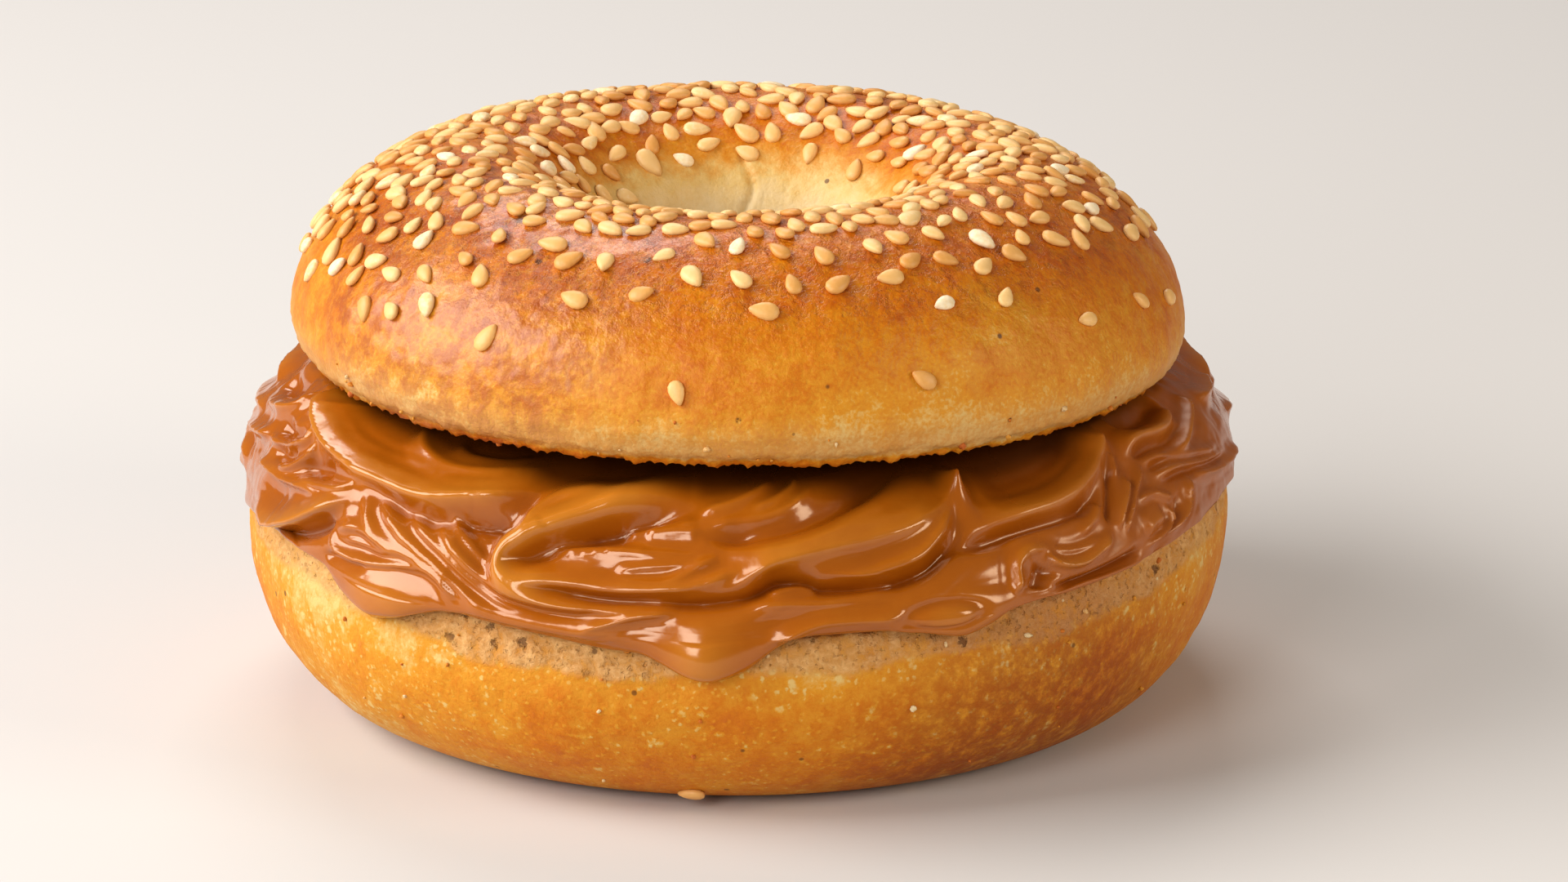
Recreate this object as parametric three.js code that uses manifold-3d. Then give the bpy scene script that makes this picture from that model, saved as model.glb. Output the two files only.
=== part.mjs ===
// A sesame bagel, sliced through its waist and closed again over a thick layer of
// swirled caramel spread. Millimetres, +Z up. It rests on its flat foot at z = 0, with
// the axis of its hole along Z. Angles are in degrees round the hole: 0 is the front,
// towards -Y, and they grow towards +X.
import * as THREE from "three";
import { ParametricGeometry } from "three/addons/geometries/ParametricGeometry.js";
import { mergeVertices } from "three/addons/utils/BufferGeometryUtils.js";
import Module from "manifold-3d";

const wasm = await Module();
wasm.setup();

const { degToRad, radToDeg, clamp, lerp, smoothstep } = THREE.MathUtils;

// ---------------------------------------------------------------- driving dimensions

const CLEARANCE = 0.3; // between the spread and each half of the bagel

const TOP = {
  underside: 40.2, // height of its cut face above the table
  fall: 0.012, // how much the cut face falls for each millimetre towards +X
  rimRadius: 49.7,
  widestRadius: 52,
  widestUp: 3.8, // this height and the next two are above the cut face
  crestRadius: 31,
  crestUp: 22.7,
  waistRadius: 14.5,
  waistUp: 6,
  innerRimRadius: 15.5,
  outerRoundness: 1.85, // exponent of the superellipse: 2 is an ellipse
  innerRoundness: 2,
};

const BOTTOM = {
  rimHeight: 25.3, // mean height of the cut face
  rimRadius: 56.3,
  widestRadius: 57.4,
  widestHeight: 19,
  footRadius: 41,
  footInnerRadius: 20,
  waistRadius: 15,
  waistHeight: 8,
  innerRimRadius: 15.5,
};

const SPREAD = {
  innerRadius: 16.6, // where it ends round the hole
  innerBulge: 0.5, // how far it swells into the hole
  lipGap: 0.4, // between its lower lip and the bread
  tuck: 1.3, // how far the lip draws in for each millimetre that it stops short
  fullness: 0.28, // how much a drip bulges outwards for each millimetre that it hangs
  lowest: -2, // depth of the deepest groove
  highest: 2.6, // height of the highest ridge
  drawnIn: 1.15, // how much narrower it is at the two sides than at the front
  lean: 0.35, // how much of that the right side lacks and the left side has more
  surfaceLength: 20, // from the lower edge to the top half, along the surface
  meanRadius: 57,
};

const SEED = {
  length: 3.1,
  width: 1.9,
  thickness: 1.1,
  rise: 0.12, // height of its middle above the crust
  spacing: 5.7, // between middles where the seeds lie thickest
  tries: 5000,
  draw: 7, // starts the seeded draw
  finish: 0.02, // facets that turn by less than this many millimetres are joined
};

// Where the spread hangs over the lower rim: middle, half width, drop below the rim.
const DRIPS = [
  [-93, 13, 4.6],
  [-44, 11, 3.9],
  [-14, 13, 1.6],
  [-3, 9, 4.4],
  [25, 8, 2.8],
  [34, 6, -1.2],
  [70, 16, -1.6],
  [118, 12, 2.6],
  [150, 9, 1.6],
  [177, 10, 4.6],
  [212, 13, 3.2],
  [240, 10, 1.8],
];
const DRIP_BASE = -0.35;

// Where the spread is drawn back under the top half: middle, width and how far, 0 to 1.
const RECESSES = [
  [-22, 26, 1],
  [28, 26, 1],
  [150, 30, 0.6],
  [230, 30, 0.5],
];

// Outer surface of the spread from its lower lip to the top half: radius, and height as
// a share of the gap between the two halves. One line where it fills the gap and one
// where it is drawn back.
const FILLED_LINE = [
  [57.9, -0.12],
  [58.6, 0.06],
  [58.2, 0.25],
  [57.0, 0.47],
  [54.8, 0.69],
  [51.8, 0.87],
  [48.5, 0.985],
];
const DRAWN_LINE = [
  [58.2, -0.09],
  [59.0, 0.06],
  [58.2, 0.21],
  [56.0, 0.42],
  [51.8, 0.64],
  [46.0, 0.82],
  [38.0, 0.985],
];

// Knife strokes in the spread. rise is the height of the ridge, or the depth of the
// groove if it is below zero. above and below are its widths on its upper and lower
// side. edge is 1 for a sharp crest and 4 for a round rope. path runs from left to
// right: degrees round the bagel, and the share of the way up the spread's surface.
const STROKES = [
  // the wide bowl on the left, its rim and the crease under the rim
  { rise: 2.0, above: 2.2, below: 1.4, edge: 1.3,
    path: [[-69, 0.95], [-66, 0.8], [-60, 0.7], [-50, 0.655], [-41, 0.633], [-33, 0.67], [-25, 0.75],
      [-18, 0.82]] },
  { rise: -1.3, above: 2.6, below: 2.0, edge: 2,
    path: [[-63, 0.84], [-56, 0.78], [-46, 0.76], [-36, 0.78], [-28, 0.84]] },
  { rise: -1.3, above: 1.3, below: 1.3, edge: 1.4,
    path: [[-46, 0.6], [-41, 0.555], [-36, 0.57], [-30, 0.6], [-25, 0.64]] },
  // the bundle of ridges that sweeps from the bowl down to the front
  { rise: 1.2, above: 1.3, below: 1.3, edge: 1.5,
    path: [[-50, 0.6], [-45, 0.5], [-41, 0.453], [-36, 0.4], [-33, 0.34], [-32, 0.27]] },
  { rise: 1.2, above: 1.3, below: 1.3, edge: 1.5,
    path: [[-46.5, 0.61], [-40.5, 0.537], [-35.5, 0.46], [-31.5, 0.385], [-29, 0.325], [-25, 0.26]] },
  { rise: 1.2, above: 1.3, below: 1.3, edge: 1.5,
    path: [[-44.5, 0.59], [-36, 0.5], [-33, 0.46], [-29, 0.38], [-22.5, 0.332], [-16, 0.317], [-6, 0.355]] },
  // the thick tongue that folds back on itself, and the hollow behind it
  { rise: 2.2, above: 1.6, below: 1.3, edge: 2.2,
    path: [[-24.5, 0.42], [-25.8, 0.46], [-26, 0.51], [-23.5, 0.583], [-18.5, 0.655], [-14, 0.73],
      [-9, 0.8]] },
  { rise: -1.8, above: 1.3, below: 1.4, edge: 1.6,
    path: [[-21, 0.4], [-23, 0.44], [-23.2, 0.485], [-21, 0.54], [-16, 0.6], [-11, 0.68], [-5, 0.73]] },
  // the crease that crosses the whole front under the upper sheets
  { rise: -1.6, above: 1.3, below: 1.3, edge: 1.4,
    path: [[-24.5, 0.41], [-20, 0.385], [-12.5, 0.358], [-4, 0.37], [0.5, 0.395], [3, 0.435], [5.3, 0.478]] },
  { rise: 1.0, above: 1.3, below: 1.3, edge: 1.5,
    path: [[-17, 0.2], [-13.5, 0.255], [-10.5, 0.306], [-6, 0.345]] },
  // the crescents under the top half
  { rise: 1.4, above: 1.3, below: 1.3, edge: 1.5,
    path: [[-5.5, 0.66], [0, 0.7], [4, 0.704], [7, 0.745], [10, 0.81]] },
  { rise: -1.7, above: 1.4, below: 1.3, edge: 1.6,
    path: [[-4.5, 0.645], [-1, 0.637], [4, 0.65], [9, 0.69], [14, 0.745], [18, 0.81], [22, 0.87]] },
  // the long diagonal fold that ends in a peak, and the crease under it
  { rise: 1.5, above: 2.2, below: 1.6, edge: 1.5,
    path: [[0, 0.45], [4.5, 0.52], [11, 0.574], [17, 0.592], [22, 0.635], [26, 0.69], [29.3, 0.75]] },
  { rise: 1.8, above: 1.3, below: 1.3, edge: 1.3,
    path: [[27.5, 0.72], [29.3, 0.755], [30.3, 0.7]] },
  { rise: -1.8, above: 1.3, below: 1.3, edge: 1.4,
    path: [[5.3, 0.478], [8.5, 0.443], [13, 0.41], [17.7, 0.41], [21.7, 0.46], [24.7, 0.545], [27, 0.64]] },
  // the wide channel on the right, its raised edge and the crease under that
  { rise: -1.3, above: 2.6, below: 2.4, edge: 2,
    path: [[31, 0.73], [37, 0.73], [43, 0.76], [49, 0.81], [53, 0.87]] },
  { rise: 1.5, above: 1.3, below: 1.3, edge: 1.5,
    path: [[23, 0.53], [29, 0.58], [35, 0.605], [41, 0.64], [46, 0.68], [50, 0.74], [54, 0.81], [58, 0.88]] },
  { rise: -1.4, above: 1.3, below: 1.3, edge: 1.5,
    path: [[21, 0.455], [25.5, 0.5], [29, 0.525], [35, 0.53], [41, 0.54], [45, 0.58]] },
  // the hook round a dark notch, and the folds that stand beside it
  { rise: 1.3, above: 1.3, below: 1.3, edge: 1.5,
    path: [[30.8, 0.27], [31.2, 0.36], [32.5, 0.44], [35, 0.475], [38, 0.44]] },
  { rise: -1.7, above: 1.4, below: 1.4, edge: 2,
    path: [[33.5, 0.24], [34.3, 0.31], [35.2, 0.36]] },
  { rise: 1.3, above: 1.3, below: 1.3, edge: 1.5,
    path: [[36.8, 0.42], [38.2, 0.36], [40.5, 0.335], [43.5, 0.38], [46, 0.44]] },
  { rise: 1.3, above: 1.3, below: 1.3, edge: 1.5,
    path: [[41.5, 0.3], [43.7, 0.37], [46.5, 0.45], [49, 0.53], [51, 0.62], [52, 0.7]] },
  { rise: 1.1, above: 1.3, below: 1.3, edge: 1.5,
    path: [[56.5, 0.75], [60, 0.775], [64, 0.74], [69, 0.72]] },
  { rise: 1.0, above: 1.3, below: 1.3, edge: 1.5,
    path: [[53, 0.6], [58, 0.6], [64, 0.57], [70, 0.53], [78, 0.47]] },
  { rise: 1.0, above: 1.3, below: 1.3, edge: 1.5,
    path: [[55, 0.42], [60, 0.46], [65, 0.46], [72, 0.38], [80, 0.3]] },
  // the leaf on the left drip, and the ridges and crumples beyond it
  { rise: 1.1, above: 1.3, below: 1.3, edge: 1.5,
    path: [[-52, 0.35], [-50.5, 0.29], [-45, 0.31], [-41, 0.335], [-36, 0.35], [-33.5, 0.33]] },
  { rise: 1.7, above: 1.3, below: 1.3, edge: 1.5,
    path: [[-68, 0.2], [-60, 0.31], [-57, 0.4], [-53, 0.477], [-50.3, 0.58]] },
  { rise: 1.0, above: 1.3, below: 1.3, edge: 1.5,
    path: [[-84, 0.3], [-77, 0.36], [-70, 0.38], [-63, 0.46], [-57, 0.52]] },
  { rise: -1.1, above: 1.3, below: 1.3, edge: 1.8,
    path: [[-76, 0.46], [-70, 0.52], [-64, 0.55], [-59, 0.58]] },
  { rise: 1.0, above: 1.3, below: 1.3, edge: 1.5,
    path: [[-88, 0.55], [-80, 0.62], [-73, 0.62], [-66, 0.66]] },
];

// Round swells on the strokes' sheet: angle, share up, half widths of both, height.
const SWELLS = [
  [-41, 0.19, 8, 0.13, 1.3],
  [-3.5, 0.12, 6, 0.16, 0.9],
  [24, 0.16, 6, 0.14, 0.9],
];

// The strokes round the back follow one rule, each from a seeded draw.
const BACK = { from: 92, to: 276, rows: 5, step: 17, length: 30, climb: 0.2, seed: 20 };

const COLORS = {
  crust: 0xc9812f,
  spread: 0xa35a1c,
};

const HEAVE_RADIUS = 60; // the crest rises and falls by the dough's swell over this

const TOP_COLUMNS = 48;
const BOTTOM_COLUMNS = 48;
const SPREAD_COLUMNS = 112;
const OUTER_ROWS = 17; // rows of the spread's outer surface
const INNER_ROWS = 6; // rows of its hidden faces

// --------------------------------------------------------------------------- helpers

// A small seeded generator, so that each build draws the same seeds and strokes.
function seededRandom(seed) {
  let state = seed;
  return () => {
    state = (state + 0x6d2b79f5) | 0;
    let t = Math.imul(state ^ (state >>> 15), 1 | state);
    t = (t + Math.imul(t ^ (t >>> 7), 61 | t)) ^ t;
    return ((t ^ (t >>> 14)) >>> 0) / 2 ** 32;
  };
}

// Smallest signed turn in degrees from one angle to another.
function turn(from, to) {
  return ((((to - from + 180) % 360) + 360) % 360) - 180;
}

function onRing(radius, degrees, height) {
  const a = degToRad(degrees);
  return new THREE.Vector3(radius * Math.sin(a), -radius * Math.cos(a), height);
}

function angleOf(x, y) {
  return radToDeg(Math.atan2(x, -y));
}

function solidOf(geometry) {
  const bare = geometry.clone();
  bare.deleteAttribute("normal");
  bare.deleteAttribute("uv");
  const merged = mergeVertices(bare, 1e-4);
  return new wasm.Manifold(
    new wasm.Mesh({
      numProp: 3,
      vertProperties: merged.attributes.position.array,
      triVerts: new Uint32Array(merged.index.array),
    }),
  );
}

function geometryOf(solid) {
  const { numProp, vertProperties, triVerts } = solid.getMesh();
  const corners = new Float32Array((vertProperties.length / numProp) * 3);
  for (let i = 0; i < corners.length / 3; i++) {
    corners.set(vertProperties.subarray(i * numProp, i * numProp + 3), i * 3);
  }
  const geometry = new THREE.BufferGeometry();
  geometry.setAttribute("position", new THREE.BufferAttribute(corners, 3));
  geometry.setIndex(new THREE.BufferAttribute(triVerts, 1));
  geometry.computeVertexNormals();
  return geometry;
}

// One quarter of a superellipse, as points of a lathe's profile.
function quarter(centre, reach, roundness, fromDeg, toDeg, steps) {
  const points = [];
  for (let i = 0; i <= steps; i++) {
    const a = degToRad(lerp(fromDeg, toDeg, i / steps));
    const across = Math.abs(Math.cos(a)) ** (2 / roundness);
    const up = Math.abs(Math.sin(a)) ** (2 / roundness);
    points.push(
      new THREE.Vector2(centre[0] + reach[0] * across, centre[1] + reach[1] * up),
    );
  }
  return points;
}

// A closed profile turned round the hole, with +Z up and its seam at the front.
function turned(profile, columns) {
  const closed = [...profile, profile[0].clone()];
  return new THREE.LatheGeometry(closed, columns).rotateX(Math.PI / 2);
}

function moveEachPoint(geometry, moved) {
  const place = geometry.attributes.position;
  const point = new THREE.Vector3();
  for (let i = 0; i < place.count; i++) {
    point.fromBufferAttribute(place, i);
    moved(point);
    place.setXYZ(i, point.x, point.y, point.z);
  }
  return geometry;
}

// ----------------------------------------------------------------- heights and swells

// Height of the lower rim: it dips at the front, where the bagel was cut thinner.
function rimHeight(degrees) {
  const a = degToRad(degrees);
  return BOTTOM.rimHeight - 2.2 * Math.cos(a) + 0.9 * Math.sin(a) - 0.6 * Math.cos(2 * a);
}

function cutHeight(radius, degrees) {
  const lift = rimHeight(degrees) - BOTTOM.rimHeight;
  return BOTTOM.rimHeight + (lift * radius) / SPREAD.meanRadius;
}

function lidHeight(x) {
  return TOP.underside - TOP.fall * x;
}

// Hand-shaped dough is never quite round: slow waves round the ring, in millimetres.
function doughSwell(degrees) {
  const a = degToRad(degrees);
  return 0.35 * Math.sin(2 * a + 0.8) + 0.3 * Math.sin(3 * a - 0.6) + 0.15 * Math.sin(5 * a + 2);
}

function sideRadius(height, degrees) {
  const share = (height - BOTTOM.widestHeight) / (rimHeight(degrees) - BOTTOM.widestHeight);
  const drawnIn = (BOTTOM.widestRadius - BOTTOM.rimRadius) * clamp(share, 0, 1) ** 2;
  return BOTTOM.widestRadius - drawnIn;
}

// ------------------------------------------------------------------------ bottom half

function bottomProfile() {
  const b = BOTTOM;
  const points = [new THREE.Vector2(b.footInnerRadius, 0), new THREE.Vector2(b.footRadius, 0)];
  const flank = quarter(
    [b.footRadius, b.widestHeight],
    [b.widestRadius - b.footRadius, -b.widestHeight],
    2, 75, 0, 5,
  );
  points.push(...flank);
  const wall = 2;
  for (let i = 1; i <= wall; i++) {
    const share = i / wall;
    points.push(
      new THREE.Vector2(
        b.widestRadius - (b.widestRadius - b.rimRadius) * share ** 2,
        lerp(b.widestHeight, b.rimHeight, share),
      ),
    );
  }
  points.push(new THREE.Vector2(b.innerRimRadius, b.rimHeight));
  points.push(new THREE.Vector2(b.waistRadius, b.waistHeight));
  points.push(new THREE.Vector2(b.waistRadius + 1.2, b.waistHeight / 3));
  return points;
}

function bottomHalf() {
  const ring = turned(bottomProfile(), BOTTOM_COLUMNS);
  return moveEachPoint(ring, (p) => {
    const radius = Math.hypot(p.x, p.y);
    const degrees = angleOf(p.x, p.y);
    const up = Math.max(p.z, 0) / BOTTOM.rimHeight;
    const flank = smoothstep(radius, BOTTOM.footRadius, BOTTOM.widestRadius);
    const swell = 1 + (doughSwell(degrees + 40) * flank * up * (1 - up) * 4) / radius;
    const lift = (cutHeight(radius, degrees) - BOTTOM.rimHeight) * up ** 1.5;
    p.set(p.x * swell, p.y * swell, p.z + lift);
  });
}

// --------------------------------------------------------------------------- top half

function topProfile() {
  const t = TOP;
  const points = [new THREE.Vector2(t.rimRadius, 0)];
  points.push(new THREE.Vector2(lerp(t.rimRadius, t.widestRadius, 0.72), t.widestUp * 0.45));
  points.push(
    ...quarter(
      [t.crestRadius, t.widestUp],
      [t.widestRadius - t.crestRadius, t.crestUp - t.widestUp],
      t.outerRoundness, 0, 90, 8,
    ),
  );
  points.push(
    ...quarter(
      [t.crestRadius, t.waistUp],
      [t.waistRadius - t.crestRadius, t.crestUp - t.waistUp],
      t.innerRoundness, 78, 0, 5,
    ),
  );
  points.push(new THREE.Vector2(t.innerRimRadius, 0));
  return points;
}

// A crust that is a little lumpy: the swell grows with the height above the cut.
function lumpyTop(p) {
  const degrees = angleOf(p.x, p.y);
  const up = clamp(p.z / TOP.crestUp, 0, 1);
  const radius = Math.hypot(p.x, p.y);
  const outward = smoothstep(radius, TOP.waistRadius, TOP.crestRadius);
  const swell = 1 + (doughSwell(degrees) * up * outward) / radius;
  const heave = 1 + doughSwell(degrees + 130) / HEAVE_RADIUS;
  p.set(p.x * swell, p.y * swell, p.z * heave);
  p.z += lidHeight(p.x);
}

// Height of the crust above the cut face, and its outward direction, at a radius.
function crustAt(radius) {
  const outer = radius > TOP.crestRadius;
  const base = outer ? TOP.widestUp : TOP.waistUp;
  const reach = (outer ? TOP.widestRadius : TOP.waistRadius) - TOP.crestRadius;
  const power = outer ? TOP.outerRoundness : TOP.innerRoundness;
  const across = clamp((radius - TOP.crestRadius) / reach, 0, 0.999);
  const up = (1 - across ** power) ** (1 / power);
  const rise = TOP.crestUp - base;
  const slope = new THREE.Vector2(across ** (power - 1) / reach, up ** (power - 1) / rise);
  return { height: base + rise * up, normal: slope.normalize() };
}

// How thickly the seeds lie: thick over the crest and round the hole, thin on the
// front slope, and bare near the lower rim.
function seedDensity(radius, degrees) {
  const front = 0.5 + 0.5 * Math.cos(degToRad(degrees));
  const edge = lerp(50.5, 49, front);
  const start = lerp(44, 38, front);
  const outside = 1 - smoothstep(radius, start, edge);
  const inside = smoothstep(radius, 16, 20);
  return inside * lerp(0.12, 1, outside);
}

// Middles of the seeds, spread evenly by throwing them one by one and keeping those
// that fall clear of the ones that already lie there.
function seedPlaces(random) {
  const places = [];
  for (let i = 0; i < SEED.tries; i++) {
    const degrees = 360 * random();
    const radius = Math.sqrt(lerp(15.4 ** 2, 49.5 ** 2, random()));
    const density = seedDensity(radius, degrees);
    const heading = 360 * random();
    const crust = crustAt(radius);
    const middle = onRing(radius, degrees, crust.height);
    const room = SEED.spacing / Math.sqrt(Math.max(density, 0.02));
    if (random() > density + 0.3) continue;
    if (places.some((other) => other.middle.distanceTo(middle) < room)) continue;
    places.push({ middle, degrees, heading, normal: crust.normal });
  }
  return places;
}

// One seed: an oval, pointed at one end, lying flat on the crust.
function seedSolid(middle, normal, heading) {
  const shape = new THREE.SphereGeometry(1, 6, 3);
  moveEachPoint(shape, (p) => {
    const narrowing = 1 - 0.3 * p.y;
    p.set(
      (p.x * SEED.width * narrowing) / 2,
      (p.y * SEED.length) / 2,
      (p.z * SEED.thickness) / 2,
    );
  });
  const lie = new THREE.Quaternion().setFromUnitVectors(new THREE.Vector3(0, 0, 1), normal);
  const spin = new THREE.Quaternion().setFromAxisAngle(
    new THREE.Vector3(0, 0, 1),
    degToRad(heading),
  );
  const place = middle.clone().addScaledVector(normal, SEED.rise);
  const whole = new THREE.Matrix4().compose(place, lie.multiply(spin), new THREE.Vector3(1, 1, 1));
  return solidOf(shape.applyMatrix4(whole));
}

function topHalf() {
  const ring = moveEachPoint(turned(topProfile(), TOP_COLUMNS), lumpyTop);
  let bread = solidOf(ring);
  for (const { middle, degrees, heading, normal } of seedPlaces(seededRandom(SEED.draw))) {
    lumpyTop(middle);
    const outward = onRing(normal.x, degrees, normal.y);
    bread = bread.add(seedSolid(middle, outward, heading));
  }
  return geometryOf(bread.simplify(SEED.finish));
}

// ----------------------------------------------------------------------------- spread

// How far the spread hangs below the rim. Below zero it stops short of the edge.
function hangAt(degrees) {
  let hang = DRIP_BASE;
  for (const [middle, half, drop] of DRIPS) {
    const away = Math.abs(turn(middle, degrees)) / half;
    if (away < 1) hang += drop * Math.cos((away * Math.PI) / 2) ** 2;
  }
  return hang;
}

function recessAt(degrees) {
  let share = 0;
  for (const [middle, width, depth] of RECESSES) {
    share += depth * Math.exp(-((turn(middle, degrees) / width) ** 2));
  }
  return clamp(share, 0, 1);
}

// Catmull-Rom curve through the points of a line, at a share of its length.
function alongLine(line, share) {
  const last = line.length - 1;
  const i = Math.min(Math.floor(share * last), last - 1);
  const f = share * last - i;
  const at = (k) => line[clamp(k, 0, last)];
  return [0, 1].map((axis) => {
    const [a, b, c, d] = [at(i - 1), at(i), at(i + 1), at(i + 2)].map((p) => p[axis]);
    const bend = 2 * a - 5 * b + 4 * c - d;
    const twist = -a + 3 * b - 3 * c + d;
    return 0.5 * (2 * b + (c - a) * f + bend * f ** 2 + twist * f ** 3);
  });
}

// The spread's surface before any stroke. up is 0 at the lower lip and 1 at the top.
function smoothSurface(degrees, up) {
  const recess = recessAt(degrees);
  const hang = hangAt(degrees);
  const low = rimHeight(degrees);
  const lipShare = 1 / (FILLED_LINE.length - 1);
  const level = Math.max(up, lipShare);
  const filled = alongLine(FILLED_LINE, level);
  const drawn = alongLine(DRAWN_LINE, level);
  let radius = lerp(filled[0], drawn[0], recess);
  const sideways = Math.sin(degToRad(degrees));
  radius -= (SPREAD.drawnIn - SPREAD.lean * sideways) * sideways ** 2;
  const lid = lidHeight(onRing(radius, degrees, 0).x);
  let height = low + lerp(filled[1], drawn[1], recess) * (lid - low);
  if (up < lipShare) {
    const share = up / lipShare;
    const bulge = SPREAD.fullness * Math.max(hang, 0);
    const lip = lipPoint(degrees, hang);
    const round = Math.sqrt(1 - (1 - share) ** 2);
    radius = lerp(lip.radius, radius + bulge * (1 - share), round);
    height = lerp(lip.height, height, share);
  }
  return onRing(radius, degrees, height);
}

function lipPoint(degrees, hang) {
  const gap = SPREAD.lipGap;
  if (hang < 0) {
    const radius = BOTTOM.rimRadius + gap + SPREAD.tuck * hang;
    return { radius, height: cutHeight(radius, degrees) + gap };
  }
  const height = rimHeight(degrees) + gap - hang;
  return { radius: sideRadius(height, degrees) + gap, height };
}

// A stroke's path as short straight steps over the unrolled surface, in millimetres.
function unrolled(path) {
  const points = path.map(([degrees, up]) => new THREE.Vector2(...unroll(degrees, up)));
  return new THREE.SplineCurve(points).getPoints(points.length * 4);
}

function unroll(degrees, up) {
  return [degToRad(degrees) * SPREAD.meanRadius, up * SPREAD.surfaceLength];
}

function backStrokes() {
  const random = seededRandom(BACK.seed);
  const strokes = [];
  for (let row = 0; row < BACK.rows; row++) {
    const level = (row + 0.7) / (BACK.rows + 0.4);
    for (let start = BACK.from; start < BACK.to - BACK.step; start += BACK.step + 10 * random()) {
      const length = Math.min(BACK.length * (0.6 + 0.7 * random()), BACK.to - start);
      const climb = BACK.climb * (random() - 0.5) * 2;
      const sag = 0.12 * (random() - 0.5);
      const path = [0, 0.33, 0.67, 1].map((share) => [
        start + length * share,
        level + climb * (share - 0.5) + sag * Math.sin(Math.PI * share),
      ]);
      const rise = random() < 0.3 ? -1.1 : 0.8 + 0.7 * random();
      strokes.push({ rise, above: 1.3 + random(), below: 1.3 + 0.3 * random(), edge: 1.5, path });
    }
  }
  return strokes;
}

const ALL_STROKES = [...STROKES, ...backStrokes()].map((stroke) => ({
  ...stroke,
  steps: unrolled(stroke.path),
}));

// Height that one stroke adds at a point of the unrolled surface.
function strokeRise(stroke, x, y) {
  let nearest = Infinity;
  let side = 1;
  let along = 0;
  const last = stroke.steps.length - 1;
  for (let i = 0; i < last; i++) {
    const a = stroke.steps[i];
    const b = stroke.steps[i + 1];
    const dx = b.x - a.x;
    const dy = b.y - a.y;
    const share = clamp(((x - a.x) * dx + (y - a.y) * dy) / (dx * dx + dy * dy), 0, 1);
    const away = Math.hypot(x - a.x - share * dx, y - a.y - share * dy);
    if (away < nearest) {
      nearest = away;
      side = dx * (y - a.y) - dy * (x - a.x);
      along = (i + share) / last;
    }
  }
  const width = side > 0 ? stroke.above : stroke.below;
  if (nearest > 4 * width) return 0;
  const taper = smoothstep(along, 0, 0.2) * (1 - smoothstep(along, 0.8, 1));
  return stroke.rise * (0.25 + 0.75 * taper) * Math.exp(-((nearest / width) ** stroke.edge));
}

function reliefAt(degrees, up) {
  const wrapped = turn(0, degrees);
  let relief = 0;
  for (const lap of [wrapped, wrapped + 360]) {
    const [x, y] = unroll(lap, up);
    for (const stroke of ALL_STROKES) relief += strokeRise(stroke, x, y);
  }
  for (const [middle, level, half, share, height] of SWELLS) {
    const away = (turn(middle, degrees) / half) ** 2 + ((up - level) / share) ** 2;
    relief += height * Math.exp(-away);
  }
  const faded = smoothstep(up, 0, 0.07) * (1 - smoothstep(up, 0.9, 1));
  return clamp(relief, SPREAD.lowest, SPREAD.highest) * faded;
}

// The outer surface with its strokes, each point pushed out along the smooth surface's
// own direction and kept clear of the bread.
function swirledSurface(degrees, up) {
  const step = 0.01;
  const here = smoothSurface(degrees, up);
  const across = smoothSurface(degrees + 1, up).sub(smoothSurface(degrees - 1, up));
  const upward = smoothSurface(degrees, Math.min(up + step, 1)).sub(
    smoothSurface(degrees, Math.max(up - step, 0)),
  );
  const outward = across.cross(upward).normalize();
  here.addScaledVector(outward, reliefAt(degrees, up));
  const radius = Math.hypot(here.x, here.y);
  const floor = cutHeight(radius, degrees) + CLEARANCE;
  if (radius < BOTTOM.rimRadius + CLEARANCE) here.z = Math.max(here.z, floor);
  here.z = Math.min(here.z, lidHeight(here.x) - CLEARANCE);
  return here;
}

// The hidden faces: under the top half, round the hole and on the lower cut face.
function hiddenFace(degrees, row) {
  const reach = lerp(FILLED_LINE.at(-1)[0], DRAWN_LINE.at(-1)[0], recessAt(degrees));
  const hang = hangAt(degrees);
  const lip = lipPoint(degrees, hang);
  const corner = Math.min(BOTTOM.rimRadius, lip.radius) + CLEARANCE - SPREAD.lipGap / 2;
  const belowLid = (radius) => {
    const x = onRing(radius, degrees, 0).x;
    return onRing(radius, degrees, lidHeight(x) - CLEARANCE);
  };
  const onCut = (radius) => onRing(radius, degrees, cutHeight(radius, degrees) + CLEARANCE);
  const inner = SPREAD.innerRadius;
  if (row === 1) return belowLid((reach + inner) / 2);
  if (row === 2) return belowLid(inner);
  if (row === 3) {
    const middle = belowLid(inner - SPREAD.innerBulge);
    return middle.lerp(onCut(inner - SPREAD.innerBulge), 0.5);
  }
  if (row === 4) return onCut(inner);
  const edge = onCut(corner);
  if (hang > 0) edge.z = Math.max(edge.z, rimHeight(degrees) + CLEARANCE);
  return edge;
}

// Columns stand closer together at the front, where the strokes are finest.
function columnAngle(u) {
  const even = 2 * Math.PI * (u - 0.5);
  return radToDeg(even - 0.42 * Math.sin(even));
}

function spreadGeometry() {
  const rows = OUTER_ROWS + INNER_ROWS;
  const place = (u, v, target) => {
    const degrees = columnAngle(u);
    const row = (Math.round(v * rows * 1e6) / 1e6) % rows;
    const outer = row <= OUTER_ROWS;
    const whole = Math.round(row);
    const point = outer
      ? swirledSurface(degrees, row / OUTER_ROWS)
      : hiddenFace(degrees, whole - OUTER_ROWS);
    target.copy(point);
  };
  return new ParametricGeometry(place, SPREAD_COLUMNS, rows);
}

// --------------------------------------------------------------------------- assembly

function breadMaterial() {
  return new THREE.MeshStandardMaterial({ color: COLORS.crust, roughness: 0.6, metalness: 0 });
}

function spreadMaterial() {
  return new THREE.MeshStandardMaterial({ color: COLORS.spread, roughness: 0.25, metalness: 0 });
}

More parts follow.
